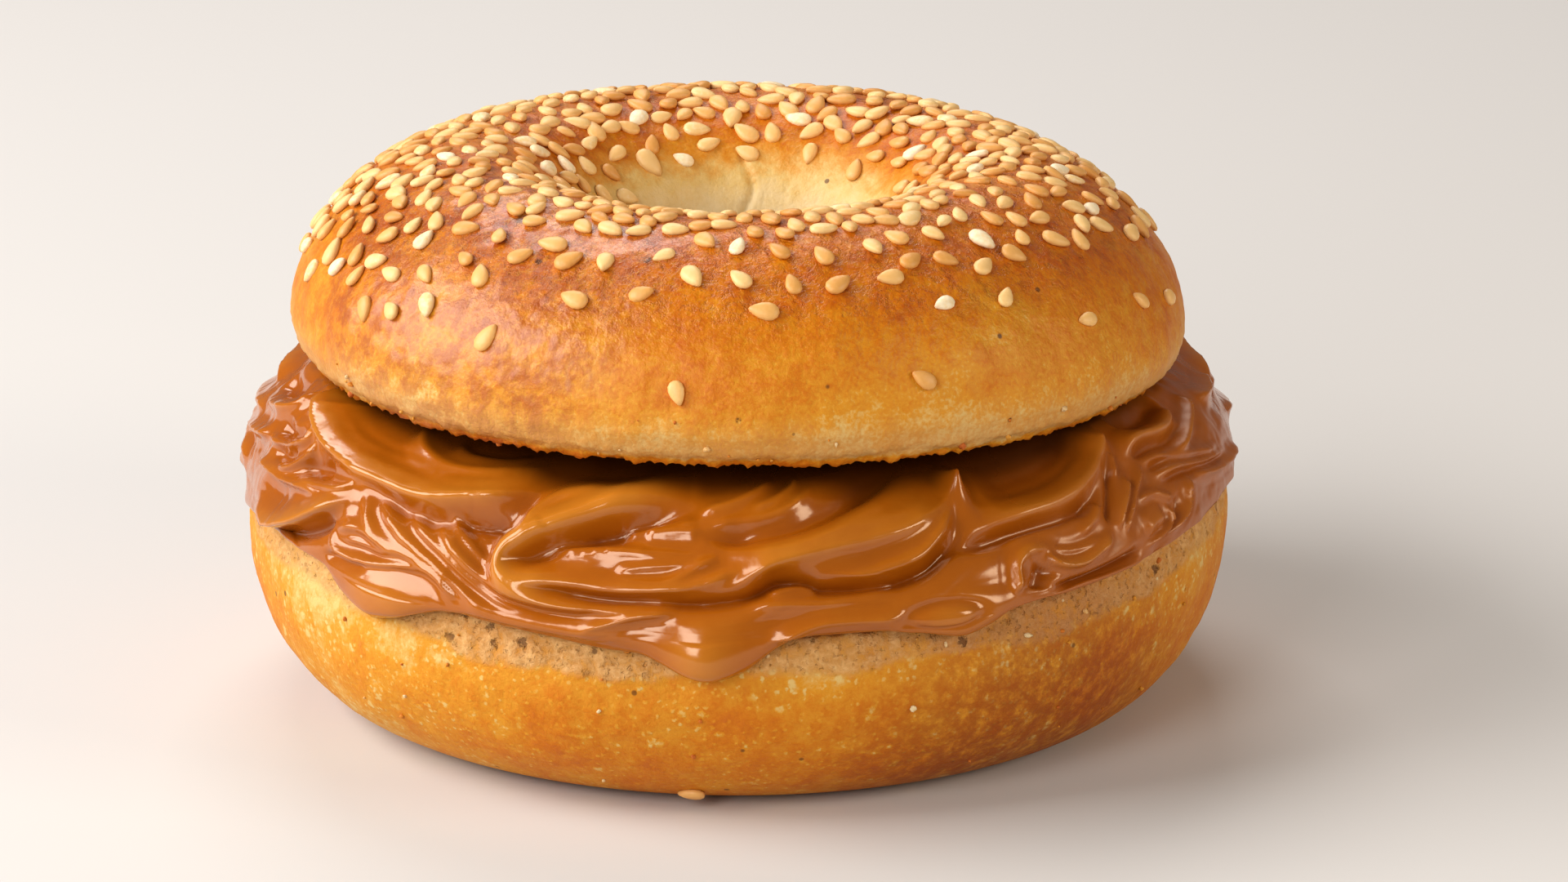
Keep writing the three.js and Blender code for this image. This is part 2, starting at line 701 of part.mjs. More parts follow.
function named(name, geometry, material) {
  const mesh = new THREE.Mesh(geometry, material);
  mesh.name = name;
  return mesh;
}

const bagel = new THREE.Group();
bagel.add(
  named("bottom_half", bottomHalf(), breadMaterial()),
  named("spread", spreadGeometry(), spreadMaterial()),
  named("top_half", topHalf(), breadMaterial()),
);

export default bagel;
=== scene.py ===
# %% [markdown]
# # A sesame bagel with caramel spread
#
# The object is a sliced sesame bagel that was closed again over a thick layer of caramel
# spread. Three things make it: a lower half of baked bread, the spread, and an upper half
# whose crust is sown with sesame. The solids of all three were packed before this script
# runs. They fix each place and size, and this script gives the skin: crust, crumb, swirls
# and seeds. The first step is therefore to load them, before anything else is made.

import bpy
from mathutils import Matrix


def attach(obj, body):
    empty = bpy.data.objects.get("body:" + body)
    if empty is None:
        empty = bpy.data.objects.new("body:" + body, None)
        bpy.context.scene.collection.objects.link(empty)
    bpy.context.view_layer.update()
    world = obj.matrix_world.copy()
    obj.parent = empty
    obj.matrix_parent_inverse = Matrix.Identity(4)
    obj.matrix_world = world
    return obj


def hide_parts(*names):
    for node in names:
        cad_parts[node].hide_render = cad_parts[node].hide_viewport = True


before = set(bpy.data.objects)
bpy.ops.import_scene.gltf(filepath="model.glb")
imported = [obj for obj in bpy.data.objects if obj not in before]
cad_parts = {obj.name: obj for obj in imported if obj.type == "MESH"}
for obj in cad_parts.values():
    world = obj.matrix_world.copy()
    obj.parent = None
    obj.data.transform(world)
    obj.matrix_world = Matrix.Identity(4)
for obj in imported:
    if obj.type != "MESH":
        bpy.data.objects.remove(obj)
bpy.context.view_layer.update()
print("packed nodes:", sorted(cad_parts))

# %% [markdown]
# ## Numbers before shapes
#
# A bagel is easiest to think of in millimetres, while Blender works in metres, so the
# shapes are worked out in millimetres and shrunk once, when a mesh is made. Every place
# on the bagel is named by its angle round the hole, 0 at the front and growing to the
# right, with a radius and a height. NumPy works on whole arrays of places at once, which
# keeps a fine mesh quick.

import bpy
import numpy as np
from mathutils import Vector, noise

MM = 0.001


def smoothstep(value, low, high):
    share = np.clip((value - low) / (high - low), 0, 1)
    return share * share * (3 - 2 * share)


def bell(value, width):
    """1 where the value is 0, falling softly to nothing about two widths away."""
    return np.exp(-((value / width) ** 2))


def mix(a, b, share):
    return a + (b - a) * share


def turn(start, end):
    """Smallest signed turn in degrees from one angle to another."""
    return (end - start + 180) % 360 - 180


def on_ring(radius, degrees, height):
    angle = np.radians(degrees)
    return np.stack(np.broadcast_arrays(radius * np.sin(angle), -radius * np.cos(angle), height), -1)


def angle_of(points):
    return np.degrees(np.arctan2(points[..., 0], -points[..., 1]))


def radius_of(points):
    return np.hypot(points[..., 0], points[..., 1])


def lumps(points, size, octaves=2):
    """Smooth noise, about -1 to 1, in lumps about this many millimetres wide."""
    flat = (points / size).reshape(-1, 3)
    values = [noise.fractal(Vector(p), 1.0, 2.0, octaves) for p in flat]
    return np.array(values).reshape(points.shape[:-1])


def layered(points, layers):
    """Lumps of several sizes on each other: a height, an offset, a size and the octaves of each."""
    return sum(height * lumps(points + offset, size, octaves) for height, offset, size, octaves in layers)


print("a quarter turn to the right:", on_ring(50.0, 90.0, 0.0).round(3))

# %% [markdown]
# ## The sizes that all pieces share
#
# The cut faces are the meeting places: the lower one dips towards the front, where the
# knife went lower, and the upper one tilts a little. The spread fills what is between
# them. These are the same sizes and the same few formulas as in the solids, so each skin
# lies on its solid.

# %% Heights of the cut faces and the slow waves of hand-shaped dough
TOP = dict(underside=40.2, fall=0.012, rim=49.7, widest=52, widest_up=3.8, crest=31, crest_up=22.7,
           waist=14.5, waist_up=6, inner_rim=15.5, outer_roundness=1.85, inner_roundness=2)
BOTTOM = dict(rim_height=25.3, front_dip=2.2, right_rise=0.9, side_rise=0.6, rim=56.3, widest=57.4,
              widest_height=19, foot=41, inner_foot=20, waist=15, waist_height=8, inner_rim=15.5)
MEAN_RADIUS = 57
DOUGH_WAVES = [(0.35, 2, 0.8), (0.3, 3, -0.6), (0.15, 5, 2)]  # mm out, waves round the ring, shift


def rim_height(degrees):
    a = np.radians(degrees)
    level = BOTTOM["rim_height"] - BOTTOM["front_dip"] * np.cos(a)
    return level + BOTTOM["right_rise"] * np.sin(a) - BOTTOM["side_rise"] * np.cos(2 * a)


def cut_height(radius, degrees):
    base = BOTTOM["rim_height"]
    return base + (rim_height(degrees) - base) * radius / MEAN_RADIUS


def lid_height(x):
    return TOP["underside"] - TOP["fall"] * x


def dough_swell(degrees):
    a = np.radians(degrees)
    return sum(height * np.sin(waves * a + shift) for height, waves, shift in DOUGH_WAVES)


print("lower rim, front and back:", rim_height(0.0).round(1), rim_height(180.0).round(1))

# %% [markdown]
# ## From a grid of points to a ring of mesh
#
# All three big pieces are rings, so one helper serves them. It takes points in columns
# round the hole and rows along the section, joins each to its neighbours with four-sided
# faces, and closes both ways round, so that the piece has no open edge. Bread and spread
# are uneven at every size. A second helper gives the surface's own direction at each point,
# so that lumps and grooves are pushed out square to it wherever it turns.

# %% Helpers that turn grids into pieces
FRONT_CROWDING = 0.42  # how much closer together the columns stand at the front


def outward(grid, closed_rows=True):
    """Unit direction out of the surface at each point of a ring's grid."""
    across = np.roll(grid, -1, 0) - np.roll(grid, 1, 0)
    if closed_rows:
        upward = np.roll(grid, -1, 1) - np.roll(grid, 1, 1)
    else:
        upward = np.gradient(grid, axis=1)
    direction = np.cross(across, upward)
    return direction / np.maximum(np.linalg.norm(direction, axis=-1, keepdims=True), 1e-9)


def piece_from(name, points, faces, values):
    """A smooth-shaded mesh in metres, with one number for each point under each name."""
    mesh = bpy.data.meshes.new(name)
    mesh.from_pydata(points * MM, [], faces)
    mesh.shade_smooth()
    for key, numbers in values.items():
        layer = mesh.attributes.new(key, "FLOAT", "POINT")
        layer.data.foreach_set("value", np.asarray(numbers, np.float32).ravel())
    piece = bpy.data.objects.new(name, mesh)
    bpy.context.scene.collection.objects.link(piece)
    mesh.calc_loop_triangles()
    print(f"{name}: {len(mesh.loop_triangles)} triangles")
    return piece


def ring_piece(name, grid, values):
    columns, rows = grid.shape[:2]
    index = np.arange(columns * rows).reshape(columns, rows)
    right = np.roll(index, -1, 0)
    corners = [index, right, np.roll(right, -1, 1), np.roll(index, -1, 1)]
    faces = np.stack(corners, -1).reshape(-1, 4)
    return piece_from(name, grid.reshape(-1, 3), faces.tolist(), values)


def column_angles(columns):
    """Angles round the ring, closer together at the front."""
    even = np.linspace(-np.pi, np.pi, columns, endpoint=False)
    return np.degrees(even - FRONT_CROWDING * np.sin(even))[:, None]


def turned(profile, columns):
    """The grid of a profile of radius and height, turned round the hole."""
    degrees = column_angles(columns)
    return on_ring(profile[None, :, 0], degrees, profile[None, :, 1]), degrees


def even_steps(corners, gaps):
    """Points along straight lines between corners, about gaps[i] apart on line i."""
    line = [corners[0][None]]
    for start, end, gap in zip(corners, corners[1:], gaps):
        steps = max(int(round(np.linalg.norm(end - start) / gap)), 1)
        line.append(mix(start, end, np.linspace(0, 1, steps + 1)[1:, None]))
    return np.concatenate(line)


def quarter(centre, reach, roundness, from_deg, to_deg, steps):
    """One quarter of a superellipse, as radius and height."""
    a = np.radians(np.linspace(from_deg, to_deg, steps))
    across = np.abs(np.cos(a)) ** (2 / roundness)
    up = np.abs(np.sin(a)) ** (2 / roundness)
    return np.stack([centre[0] + reach[0] * across, centre[1] + reach[1] * up], -1)


print("gap in degrees at the front, with 360 columns:", np.ptp(column_angles(360)[180:182]).round(2))

# %% [markdown]
# ## Shader maths that reads as maths
#
# A material in Blender is a graph of nodes. Joining nodes by hand takes many lines for
# one sum, so a small class stands for one output of the graph. Adding or multiplying two
# of them adds the Math node that does it. Everything else comes from one method that
# makes any kind of node: settings first, then the sockets.

# %% The wire and the finish
class Wire:
    """One socket of a material, on which sums can be written."""

    def __init__(self, finish, socket):
        self.finish = finish
        self.socket = socket

    def math(self, operation, *values):
        return self.finish.node("ShaderNodeMath", {"operation": operation}, dict(enumerate(values)))

    def __add__(self, other):
        return self.math("ADD", self, other)

    def __radd__(self, other):
        return self.math("ADD", other, self)

    def __sub__(self, other):
        return self.math("SUBTRACT", self, other)

    def __rsub__(self, other):
        return self.math("SUBTRACT", other, self)

    def __mul__(self, other):
        return self.math("MULTIPLY", self, other)

    def __rmul__(self, other):
        return self.math("MULTIPLY", other, self)

    def between(self, low, high):
        """0 below low, 1 above high and a smooth step between them."""
        settings = {"interpolation_type": "SMOOTHSTEP"}
        return self.finish.node("ShaderNodeMapRange", settings, {"Value": self, 1: low, 2: high})


class Finish:
    """A material, filled in by expressions on wires."""

    def __init__(self, name):
        self.material = bpy.data.materials.new(name)
        self.material.use_nodes = True
        self.nodes = self.material.node_tree.nodes
        self.links = self.material.node_tree.links
        self.shader = self.nodes["Principled BSDF"]
        self.where = self.node("ShaderNodeTexCoord", {}, {}, "Object")

    def node(self, kind, settings, sockets, output=0):
        made = self.nodes.new(kind)
        for key, value in settings.items():
            if key == "stops":
                self.set_stops(made.color_ramp.elements, value)
            else:
                setattr(made, key, value)
        for key, value in sockets.items():
            self.plug(made.inputs[key], value)
        return Wire(self, made.outputs[output])

    def set_stops(self, elements, stops):
        while len(elements) < len(stops):
            elements.new(1)
        for element, (place, shade) in zip(elements, stops):
            element.position = place
            element.color = shade

    def plug(self, socket, value):
        if isinstance(value, Wire):
            self.links.new(value.socket, socket)
        else:
            socket.default_value = value

    def number(self, name):
        """A number that the mesh carries at each of its points."""
        return self.node("ShaderNodeAttribute", {"attribute_name": name}, {}, "Fac")

    def speckle(self, size, detail=2.0, roughness=0.5, squeeze=(1, 1, 1)):
        """Noise from 0 to 1 in patches about this many millimetres wide."""
        where = self.node("ShaderNodeVectorMath", {"operation": "MULTIPLY"}, {0: self.where, 1: squeeze})
        sockets = {"Vector": where, "Scale": 1 / (size * MM), "Detail": detail, "Roughness": roughness}
        return self.node("ShaderNodeTexNoise", {}, sockets, "Fac")

    def near(self, place, reach, fade):
        """1 within a reach of a place, in millimetres, fading to 0 over the next few."""
        sockets = {0: self.where, 1: [float(x) * MM for x in place]}
        away = self.node("ShaderNodeVectorMath", {"operation": "DISTANCE"}, sockets, "Value")
        return away.between((reach + fade) * MM, reach * MM)

    def cells(self, size):
        """Distance from the middle of the nearest cell, in cells this many millimetres wide."""
        sockets = {"Vector": self.where, "Scale": 1 / (size * MM)}
        return self.node("ShaderNodeTexVoronoi", {}, sockets, "Distance")

    def blend(self, share, first, second):
        """first where share is 0 and second where it is 1, for colours."""
        return self.node("ShaderNodeMix", {"data_type": "RGBA"}, {0: share, 6: first, 7: second}, 2)

    def ramp(self, value, stops):
        return self.node("ShaderNodeValToRGB", {"stops": stops}, {"Fac": value}, "Color")

    def bumps(self, *layers):
        """Raises the surface by each (wire, height in millimetres) in turn."""
        normal = None
        for height, rise in layers:
            sockets = {"Height": height, "Distance": rise * MM}
            if normal:
                sockets["Normal"] = normal
            normal = self.node("ShaderNodeBump", {}, sockets)
        return normal

    def paint(self, piece, **sockets):
        """Sets the shader's own sockets and gives the finish to a piece."""
        for name, value in sockets.items():
            self.plug(self.shader.inputs[name.replace("_", " ")], value)
        piece.data.materials.append(self.material)
        print(f"{self.material.name}: {len(self.nodes)} nodes")


def colour(red, green, blue):
    """A screen colour from 0 to 255, as the opaque colour that Blender reckons with."""
    share = np.array([red, green, blue]) / 255
    light = np.where(share <= 0.04045, share / 12.92, ((share + 0.055) / 1.055) ** 2.4)
    return (*light, 1)


print("half grey on a screen, as light:", round(float(colour(128, 128, 128)[0]), 3))

# %% [markdown]
# ## The lower half
#
# The lower half of a bagel is a flat-bottomed ring: it stood on the baking tray, so its
# foot is flat and its flank round. A plain torus would miss the flat foot and the sharp
# cut edge, so the section is drawn as a line and turned. Then the dough's slow swell
# bends it, and noise in several sizes gives the slack skin, the small dents and, near the
# cut, the torn crumb.

# %% Section of the lower half
BOTTOM_COLUMNS = 660
BOTTOM_TURN = 40  # turns the dough's waves, so that the halves differ
FLANK_STEPS, WALL_STEPS = 51, 16


def bottom_section():
    b = BOTTOM
    flank = quarter([b["foot"], b["widest_height"]], [b["widest"] - b["foot"], -b["widest_height"]],
                    2, 90, 0, FLANK_STEPS + 1)
    share = np.linspace(0, 1, WALL_STEPS + 1)[1:]
    wall = np.stack([b["widest"] - (b["widest"] - b["rim"]) * share**2,
                     mix(b["widest_height"], b["rim_height"], share)], -1)
    foot = even_steps(np.array([[b["inner_foot"], 0.0], [b["foot"], 0.0]]), [3])[:-1]
    corners = np.array([[b["rim"], b["rim_height"]], [b["rim"] - 4, b["rim_height"]],
                        [b["inner_rim"], b["rim_height"]], [b["waist"], b["waist_height"]],
                        [b["waist"] + 1.2, b["waist_height"] / 3], [b["inner_foot"], 0.0]])
    gaps = [0.5, 6, 1.5, 1.5, 1.2]
    return np.concatenate([foot, flank, wall, even_steps(corners, gaps)[1:-1]])


def bent_bottom(grid, degrees):
    radius = radius_of(grid)
    up = grid[..., 2] / BOTTOM["rim_height"]
    flank = smoothstep(radius, BOTTOM["foot"], BOTTOM["widest"])
    swell = 1 + dough_swell(degrees + BOTTOM_TURN) * flank * up * (1 - up) * 4 / radius
    lift = (cut_height(radius, degrees) - BOTTOM["rim_height"]) * np.maximum(up, 0) ** 1.5
    return np.stack([grid[..., 0] * swell, grid[..., 1] * swell, grid[..., 2] + lift], -1)


bottom_grid, bottom_degrees = turned(bottom_section(), BOTTOM_COLUMNS)
bottom_grid = bent_bottom(bottom_grid, bottom_degrees)
print("lower half grid:", bottom_grid.shape)

# %% [markdown]
# The skin's noise fades out towards the foot, because the tray pressed that flat. Under the
# cut the knife tore the crust, deeper at some angles than at others. The numbers `below_cut`
# and `torn` stay with the mesh, so that the material knows how far each point is from the
# cut and how badly it is torn, without painting anything by hand.

# %% Skin of the lower half
DEEP_TEARS = [(-24, 12, 1.2), (12, 9, 0.9), (44, 16, 1.8)]  # angle, half width, mm deeper
BOTTOM_SKIN = [(0.3, 0, 13, 2), (0.13, 40, 4.5, 2), (0.05, 0, 1.1, 3)]
BOTTOM_CRUMB = [(0.3, 90, 1.5, 3), (0.14, 20, 0.7, 2)]
FOOT_FADE, FLANK_FADE = (0.3, 4), (45, 55)  # heights and radii over which the lumps grow
BOTTOM_TEAR = dict(wander=1.4, size=7, depths=(2.4, 4.2), radii=(50, 55))

bottom_radius = radius_of(bottom_grid)
below_cut = cut_height(bottom_radius, bottom_degrees) - bottom_grid[..., 2]
off_foot = smoothstep(bottom_grid[..., 2], *FOOT_FADE)
on_flank = smoothstep(bottom_radius, *FLANK_FADE)
tear_depth = below_cut + BOTTOM_TEAR["wander"] * lumps(bottom_grid + 60, BOTTOM_TEAR["size"])
for middle, half, extra in DEEP_TEARS:
    tear_depth -= extra * bell(turn(middle, bottom_degrees), half)
torn = 1 - smoothstep(tear_depth, *BOTTOM_TEAR["depths"])
torn *= smoothstep(bottom_radius, *BOTTOM_TEAR["radii"])
skin, ragged = layered(bottom_grid, BOTTOM_SKIN), layered(bottom_grid, BOTTOM_CRUMB)
bottom_push = (skin * off_foot + ragged * torn) * on_flank
bottom_grid = bottom_grid + outward(bottom_grid) * bottom_push[..., None]
bottom_grid[..., 2] = np.maximum(bottom_grid[..., 2], 0)
bottom_half = ring_piece("lower_crust", bottom_grid, {"below_cut": below_cut, "torn": torn})

# %% [markdown]
# ## The upper half
#
# The upper half is the domed top of the dough ring. Its outside is a little leaner than an
# ellipse, its hole narrows downwards, and its cut face is hidden on the spread. The section
# is again drawn and turned. Rolling the dough into a ring leaves a seam, which shows as a
# soft crease down the far wall of the hole, so one narrow groove is pressed in there.

# %% Section of the upper half
TOP_COLUMNS = 720
HEAVE = dict(turn=130, radius=60)  # the crest rises and falls with the same waves, turned
OUTER_STEPS, INNER_STEPS = 63, 45


def top_section():
    t = TOP
    outer = quarter([t["crest"], t["widest_up"]], [t["widest"] - t["crest"], t["crest_up"] - t["widest_up"]],
                    t["outer_roundness"], 0, 90, OUTER_STEPS + 1)
    inner = quarter([t["crest"], t["waist_up"]], [t["waist"] - t["crest"], t["crest_up"] - t["waist_up"]],
                    t["inner_roundness"], 90, 0, INNER_STEPS + 1)[1:]
    rim_low = np.array([t["rim"], 0.0])
    rim_mid = np.array([mix(t["rim"], t["widest"], 0.72), t["widest_up"] * 0.45])
    rim = even_steps(np.stack([rim_low, rim_mid, outer[0]]), [0.4, 0.4])[:-1]
    under = even_steps(np.array([inner[-1], [t["inner_rim"], 0.0], [t["rim"] - 3, 0.0], rim_low]),
                       [1.2, 5, 0.5])[1:-1]
    return np.concatenate([rim, outer, inner, under])


def lumpy_top(points):
    """The crust's slow swell, which grows with the height above the cut."""
    degrees, radius = angle_of(points), radius_of(points)
    up = np.clip(points[..., 2] / TOP["crest_up"], 0, 1)
    swell = 1 + dough_swell(degrees) * up * smoothstep(radius, TOP["waist"], TOP["crest"]) / radius
    heave = 1 + dough_swell(degrees + HEAVE["turn"]) / HEAVE["radius"]
    x, y = points[..., 0] * swell, points[..., 1] * swell
    return np.stack([x, y, points[..., 2] * heave + lid_height(x)], -1)


top_flat, top_degrees = turned(top_section(), TOP_COLUMNS)
top_grid = lumpy_top(top_flat)
print("upper half grid:", top_grid.shape)

# %% [markdown]
# The skin is noise again, a little rougher where the egg wash ran together in a pool. The
# rim is ragged and hangs in small torn teeth. Three numbers stay with the mesh: the height
# above the cut, whether the point is in the hole, and whether it is on the cut face, which
# the spread covers and which is painted darker still, as painted shade in the gap.

# %% Skin of the upper half
SEAM = dict(angle=176, sway=2, width=1.7, depth=0.4, radii=(18, 26))
POOL = np.array([-29, -33, 58])  # where the egg wash ran together and shines
POOL_FADE = (16, 26)
HOLE_FADE = (TOP["crest"] - 9, TOP["crest"] + 1)
TOP_SKIN = [(0.34, 0, 12, 2), (0.14, 40, 4, 2)]
TOP_CRUMB = [(0.34, 90, 1.7, 3), (0.16, 20, 0.7, 2)]
TOP_TEAR = dict(heights=(0.4, 3.0), radii=(46.5, 49))
TEETH = dict(lowest=-0.2, height=1.2)

top_up = np.clip(top_flat[..., 2], 0, None)
top_radius = radius_of(top_flat)
is_under = (top_up < 0.01) & (top_radius < TOP["rim"] - 0.01)
top_torn = (1 - smoothstep(top_up, *TOP_TEAR["heights"])) * smoothstep(top_radius, *TOP_TEAR["radii"])
seam = bell(turn(SEAM["angle"], top_degrees + SEAM["sway"] * np.sin(top_up)), SEAM["width"])
on_wall = 1 - smoothstep(top_radius, *SEAM["radii"])
on_pool = 1 - smoothstep(np.linalg.norm(top_grid - POOL, axis=-1), *POOL_FADE)
skin = layered(top_grid, TOP_SKIN) + (0.06 + 0.04 * on_pool) * lumps(top_grid, 1.2, 3)
ragged = layered(top_grid, TOP_CRUMB)
top_push = skin * smoothstep(top_up, 0, 3) + ragged * top_torn - SEAM["depth"] * seam * on_wall
top_push = np.where(is_under, 0, top_push)
top_grid = top_grid + outward(top_grid) * top_push[..., None]
teeth = 0.3 * lumps(top_grid * [1, 1, 0] + 7, 0.7, 2) + 0.16 * lumps(top_grid + 7, 2.4, 1)
teeth = np.maximum(teeth, TEETH["lowest"]) * (1 - smoothstep(top_up, 0, TEETH["height"]))
top_grid[..., 2] += np.where(is_under, 0, teeth)
in_hole = 1 - smoothstep(top_radius, *HOLE_FADE)
# the cut face's number marks where spread covers it and painted shade darkens it
top_values = {"above_cut": top_up, "in_hole": in_hole, "smeared": is_under.astype(float)}
top_half = ring_piece("upper_crust", top_grid, top_values)

# %% [markdown]
# ## Sesame
#
# A hulled sesame seed is a flat teardrop about 3 mm long. A few hundred of them stick to
# the egg wash: close together over the crest and round the hole, thin on the front slope.
# Scattering them with a particle system would leave instances, so each seed is drawn as
# its own small mesh and all are joined into one. A seeded draw throws them one by one,
# and a throw that lands on another seed is dropped, as in a tray that is shaken. Their
# places on the crust come from the same formula as the crust's section.

# %% A seeded draw and the crust's formula
def seeded_draw(seed):
    """Yields numbers from 0 to 1, the same ones each time."""
    state = seed
    while True:
        state = (state + 0x6D2B79F5) & 0xFFFFFFFF
        t = ((state ^ (state >> 15)) * (1 | state)) & 0xFFFFFFFF
        t = ((t + (((t ^ (t >> 7)) * (61 | t)) & 0xFFFFFFFF)) & 0xFFFFFFFF) ^ t
        yield ((t ^ (t >> 14)) & 0xFFFFFFFF) / 2**32


def crust_at(radius):
    """Height of the crust above the cut face, and its slope outwards and upwards."""
    outer = radius > TOP["crest"]
    base = TOP["widest_up"] if outer else TOP["waist_up"]
    reach = (TOP["widest"] if outer else TOP["waist"]) - TOP["crest"]
    power = TOP["outer_roundness"] if outer else TOP["inner_roundness"]
    across = min(max((radius - TOP["crest"]) / reach, 0), 0.999)
    up = (1 - across**power) ** (1 / power)
    rise = TOP["crest_up"] - base
    slope = np.array([across ** (power - 1) / reach, up ** (power - 1) / rise])
    return base + rise * up, slope / np.linalg.norm(slope)


def frontness(degrees):
    """1 at the front of the ring and 0 at its back."""
    return 0.5 + 0.5 * np.cos(np.radians(degrees))


def seed_density(radius, degrees):
    front = frontness(degrees)
    outside = 1 - smoothstep(radius, mix(44, 38, front), mix(50.5, 49, front))
    return smoothstep(radius, 16, 20) * mix(0.12, 1, outside)


print("crust over the crest:", crust_at(TOP["crest"])[0], "mm above the cut")

# %% [markdown]
# The first throw is the one that is fused to the solid. The second fills the gaps with
# smaller spacing. It is thinner on the front slope, lets a few strays lie lower down, and
# puts more on the left flank, where the bagel was dipped deeper.

# %% Throwing the seeds
FIRST = dict(draw=7, tries=5000, spacing=5.7, extra=0.3)
MORE = dict(draw=31, tries=18000, spacing=2.4, extra=0.02, thin=0.6, stray=0.3, left=0.7, outer=51.2)
# radii over which the front slope and the hole's edge thin out, and the strays and the left end
FADES = dict(slope=(33, 40), edge=(18, 23), stray=(43, 51), left=(47.5, 52))
FEWEST = 0.02  # the least density that the spacing reckons with


def throw(places, draw, tries, spacing, extra, thin=0, stray=0, left=0, inner=15.4, outer=49.5):
    """Adds seeds to places: each a middle, its angle, its heading and the crust's slope."""
    random = seeded_draw(draw)
    lying = [place[0] for place in places]
    for _ in range(tries):
        degrees = 360 * next(random)
        radius = np.sqrt(mix(inner**2, outer**2, next(random)))
        density = seed_density(radius, degrees)
        front = frontness(degrees) ** 1.5
        density *= 1 - thin * front * smoothstep(radius, *FADES["slope"])
        density *= 1 - thin * (1 - smoothstep(radius, *FADES["edge"]))
        density = max(density, stray * front * (1 - smoothstep(radius, *FADES["stray"])))
        to_left = smoothstep(-np.sin(np.radians(degrees)), 0.4, 0.9)
        density = max(density, left * to_left * (1 - smoothstep(radius, *FADES["left"])))
        heading = 360 * next(random)
        height, slope = crust_at(radius)
        middle = on_ring(radius, degrees, height)
        room = spacing / np.sqrt(max(density, FEWEST))
        if next(random) > density + extra:
            continue
        if lying and ((np.array(lying) - middle) ** 2).sum(1).min() < room**2:
            continue
        lying.append(middle)
        places.append((middle, degrees, heading, slope))


seed_places = []
throw(seed_places, **FIRST)
print("seeds of the first throw:", len(seed_places))
throw(seed_places, **MORE)
print("seeds in all:", len(seed_places))

# %% [markdown]
# One seed is a ball, flattened, drawn out and pointed at one end. Each gets its own size,
# a small tilt and a tone of its own, because some seeds toast darker than others. The
# number `tip` runs along the seed, for the darker point. One stray has fallen on the lower
# half, so a second helper finds the spot on a skin that is nearest to an angle and a height.

# %% One seed and all seeds
# rise is how far a fused seed's middle lies above the crust, and lift clears the skin's lumps
SEED = dict(length=3.1, width=1.9, thickness=1.1, rise=0.12, lift=0.12, vary=0.084, tilt=0.09, draw=12)
TEARDROP = dict(taper=0.38, point=0.1, flatness=0.8, thickness=0.95, thinning=0.15)
STRAYS = [(-6, 2.4, 78)]  # fallen on the lower half: angle, height, heading
STRAY_RISE = 0.35
OUTSIDE_FROM = 40  # the radius beyond which a skin's point is on the outside


def seed_form(around=12, rows=7):
    """Unit teardrop: points, faces and how far along the seed each point is."""
    angles = np.linspace(0, 2 * np.pi, around, endpoint=False)
    polar = np.linspace(0, np.pi, rows + 1)[1:-1]
    ring = [[np.sin(p) * np.cos(a), np.cos(p), np.sin(p) * np.sin(a)] for p in polar for a in angles]
    points = np.array([[0, 1, 0], *ring, [0, -1, 0]])
    faces = []
    for i in range(around):
        j = (i + 1) % around
        faces.append([0, 1 + i, 1 + j])
        for row in range(rows - 2):
            low, high = 1 + row * around, 1 + (row + 1) * around
            faces.append([low + i, high + i, high + j, low + j])
        last = 1 + (rows - 2) * around
        faces.append([last + i, len(points) - 1, last + j])
    t, along = TEARDROP, points[:, 1]
    narrow = 1 - t["taper"] * along - t["point"] * along**2
    flat = np.sign(points[:, 2]) * np.abs(points[:, 2]) ** t["flatness"]
    thick = t["thickness"] - t["thinning"] * along
    return np.stack([points[:, 0] * narrow, along, flat * thick], -1), faces, along


def on_upper_crust(middle, degrees, heading, slope):
    """Where a thrown seed lies, which way is up there, and its heading."""
    up = on_ring(slope[0], degrees, slope[1])
    return lumpy_top(middle[None])[0] + up * (SEED["rise"] + SEED["lift"]), up, heading


def on_skin(grid, degrees, height):
    """The outer point of a skin nearest to an angle and a height, and which way is out."""
    away = np.hypot(turn(degrees, angle_of(grid)), grid[..., 2] - height)
    away += 100 * (radius_of(grid) < OUTSIDE_FROM)
    spot = np.unravel_index(away.argmin(), away.shape)
    return grid[spot], outward(grid)[spot]


def joined(shapes, faces):
    """The points and faces of many shapes whose own faces are all the same."""
    count = len(shapes[0])
    all_faces = [[count * number + i for i in face] for number in range(len(shapes)) for face in faces]
    return np.concatenate(shapes), all_faces


def seed_mesh(lying, draw):
    form, faces, along = seed_form()
    shapes, tones = [], []
    for place, up, heading in lying:
        size = 1 + SEED["vary"] * draw.normal()
        half = np.array([SEED["width"], SEED["length"], SEED["thickness"]]) / 2 * size
        up = up + np.array([*draw.normal(scale=SEED["tilt"], size=2), 0])
        up = up / np.linalg.norm(up)
        lie = np.array(Vector((0, 0, 1)).rotation_difference(Vector(up)).to_matrix())
        a = np.radians(heading)
        spin = np.array([[np.cos(a), -np.sin(a), 0], [np.sin(a), np.cos(a), 0], [0, 0, 1]])
        shapes.append((form * half) @ (lie @ spin).T + place)
        tones.append(draw.random())
    values = {"tone": np.repeat(tones, len(form)), "tip": np.tile(along, len(lying))}
    return *joined(shapes, faces), values


seeds_lying = [on_upper_crust(*place) for place in seed_places]
for degrees, height, heading in STRAYS:
    place, up = on_skin(bottom_grid, degrees, height)
    seeds_lying.append((place + up * STRAY_RISE, up, heading))
seeds = piece_from("sesame_seeds", *seed_mesh(seeds_lying, np.random.default_rng(SEED["draw"])))

# %% [markdown]
# ## Loose crumbs
#
# The knife leaves crumbs, and they cling near the cuts and on the flank below. They are
# far too small for the solids. Each is a little ball whose points are pushed about at
# random, so that no two are alike, and all of them are one mesh.

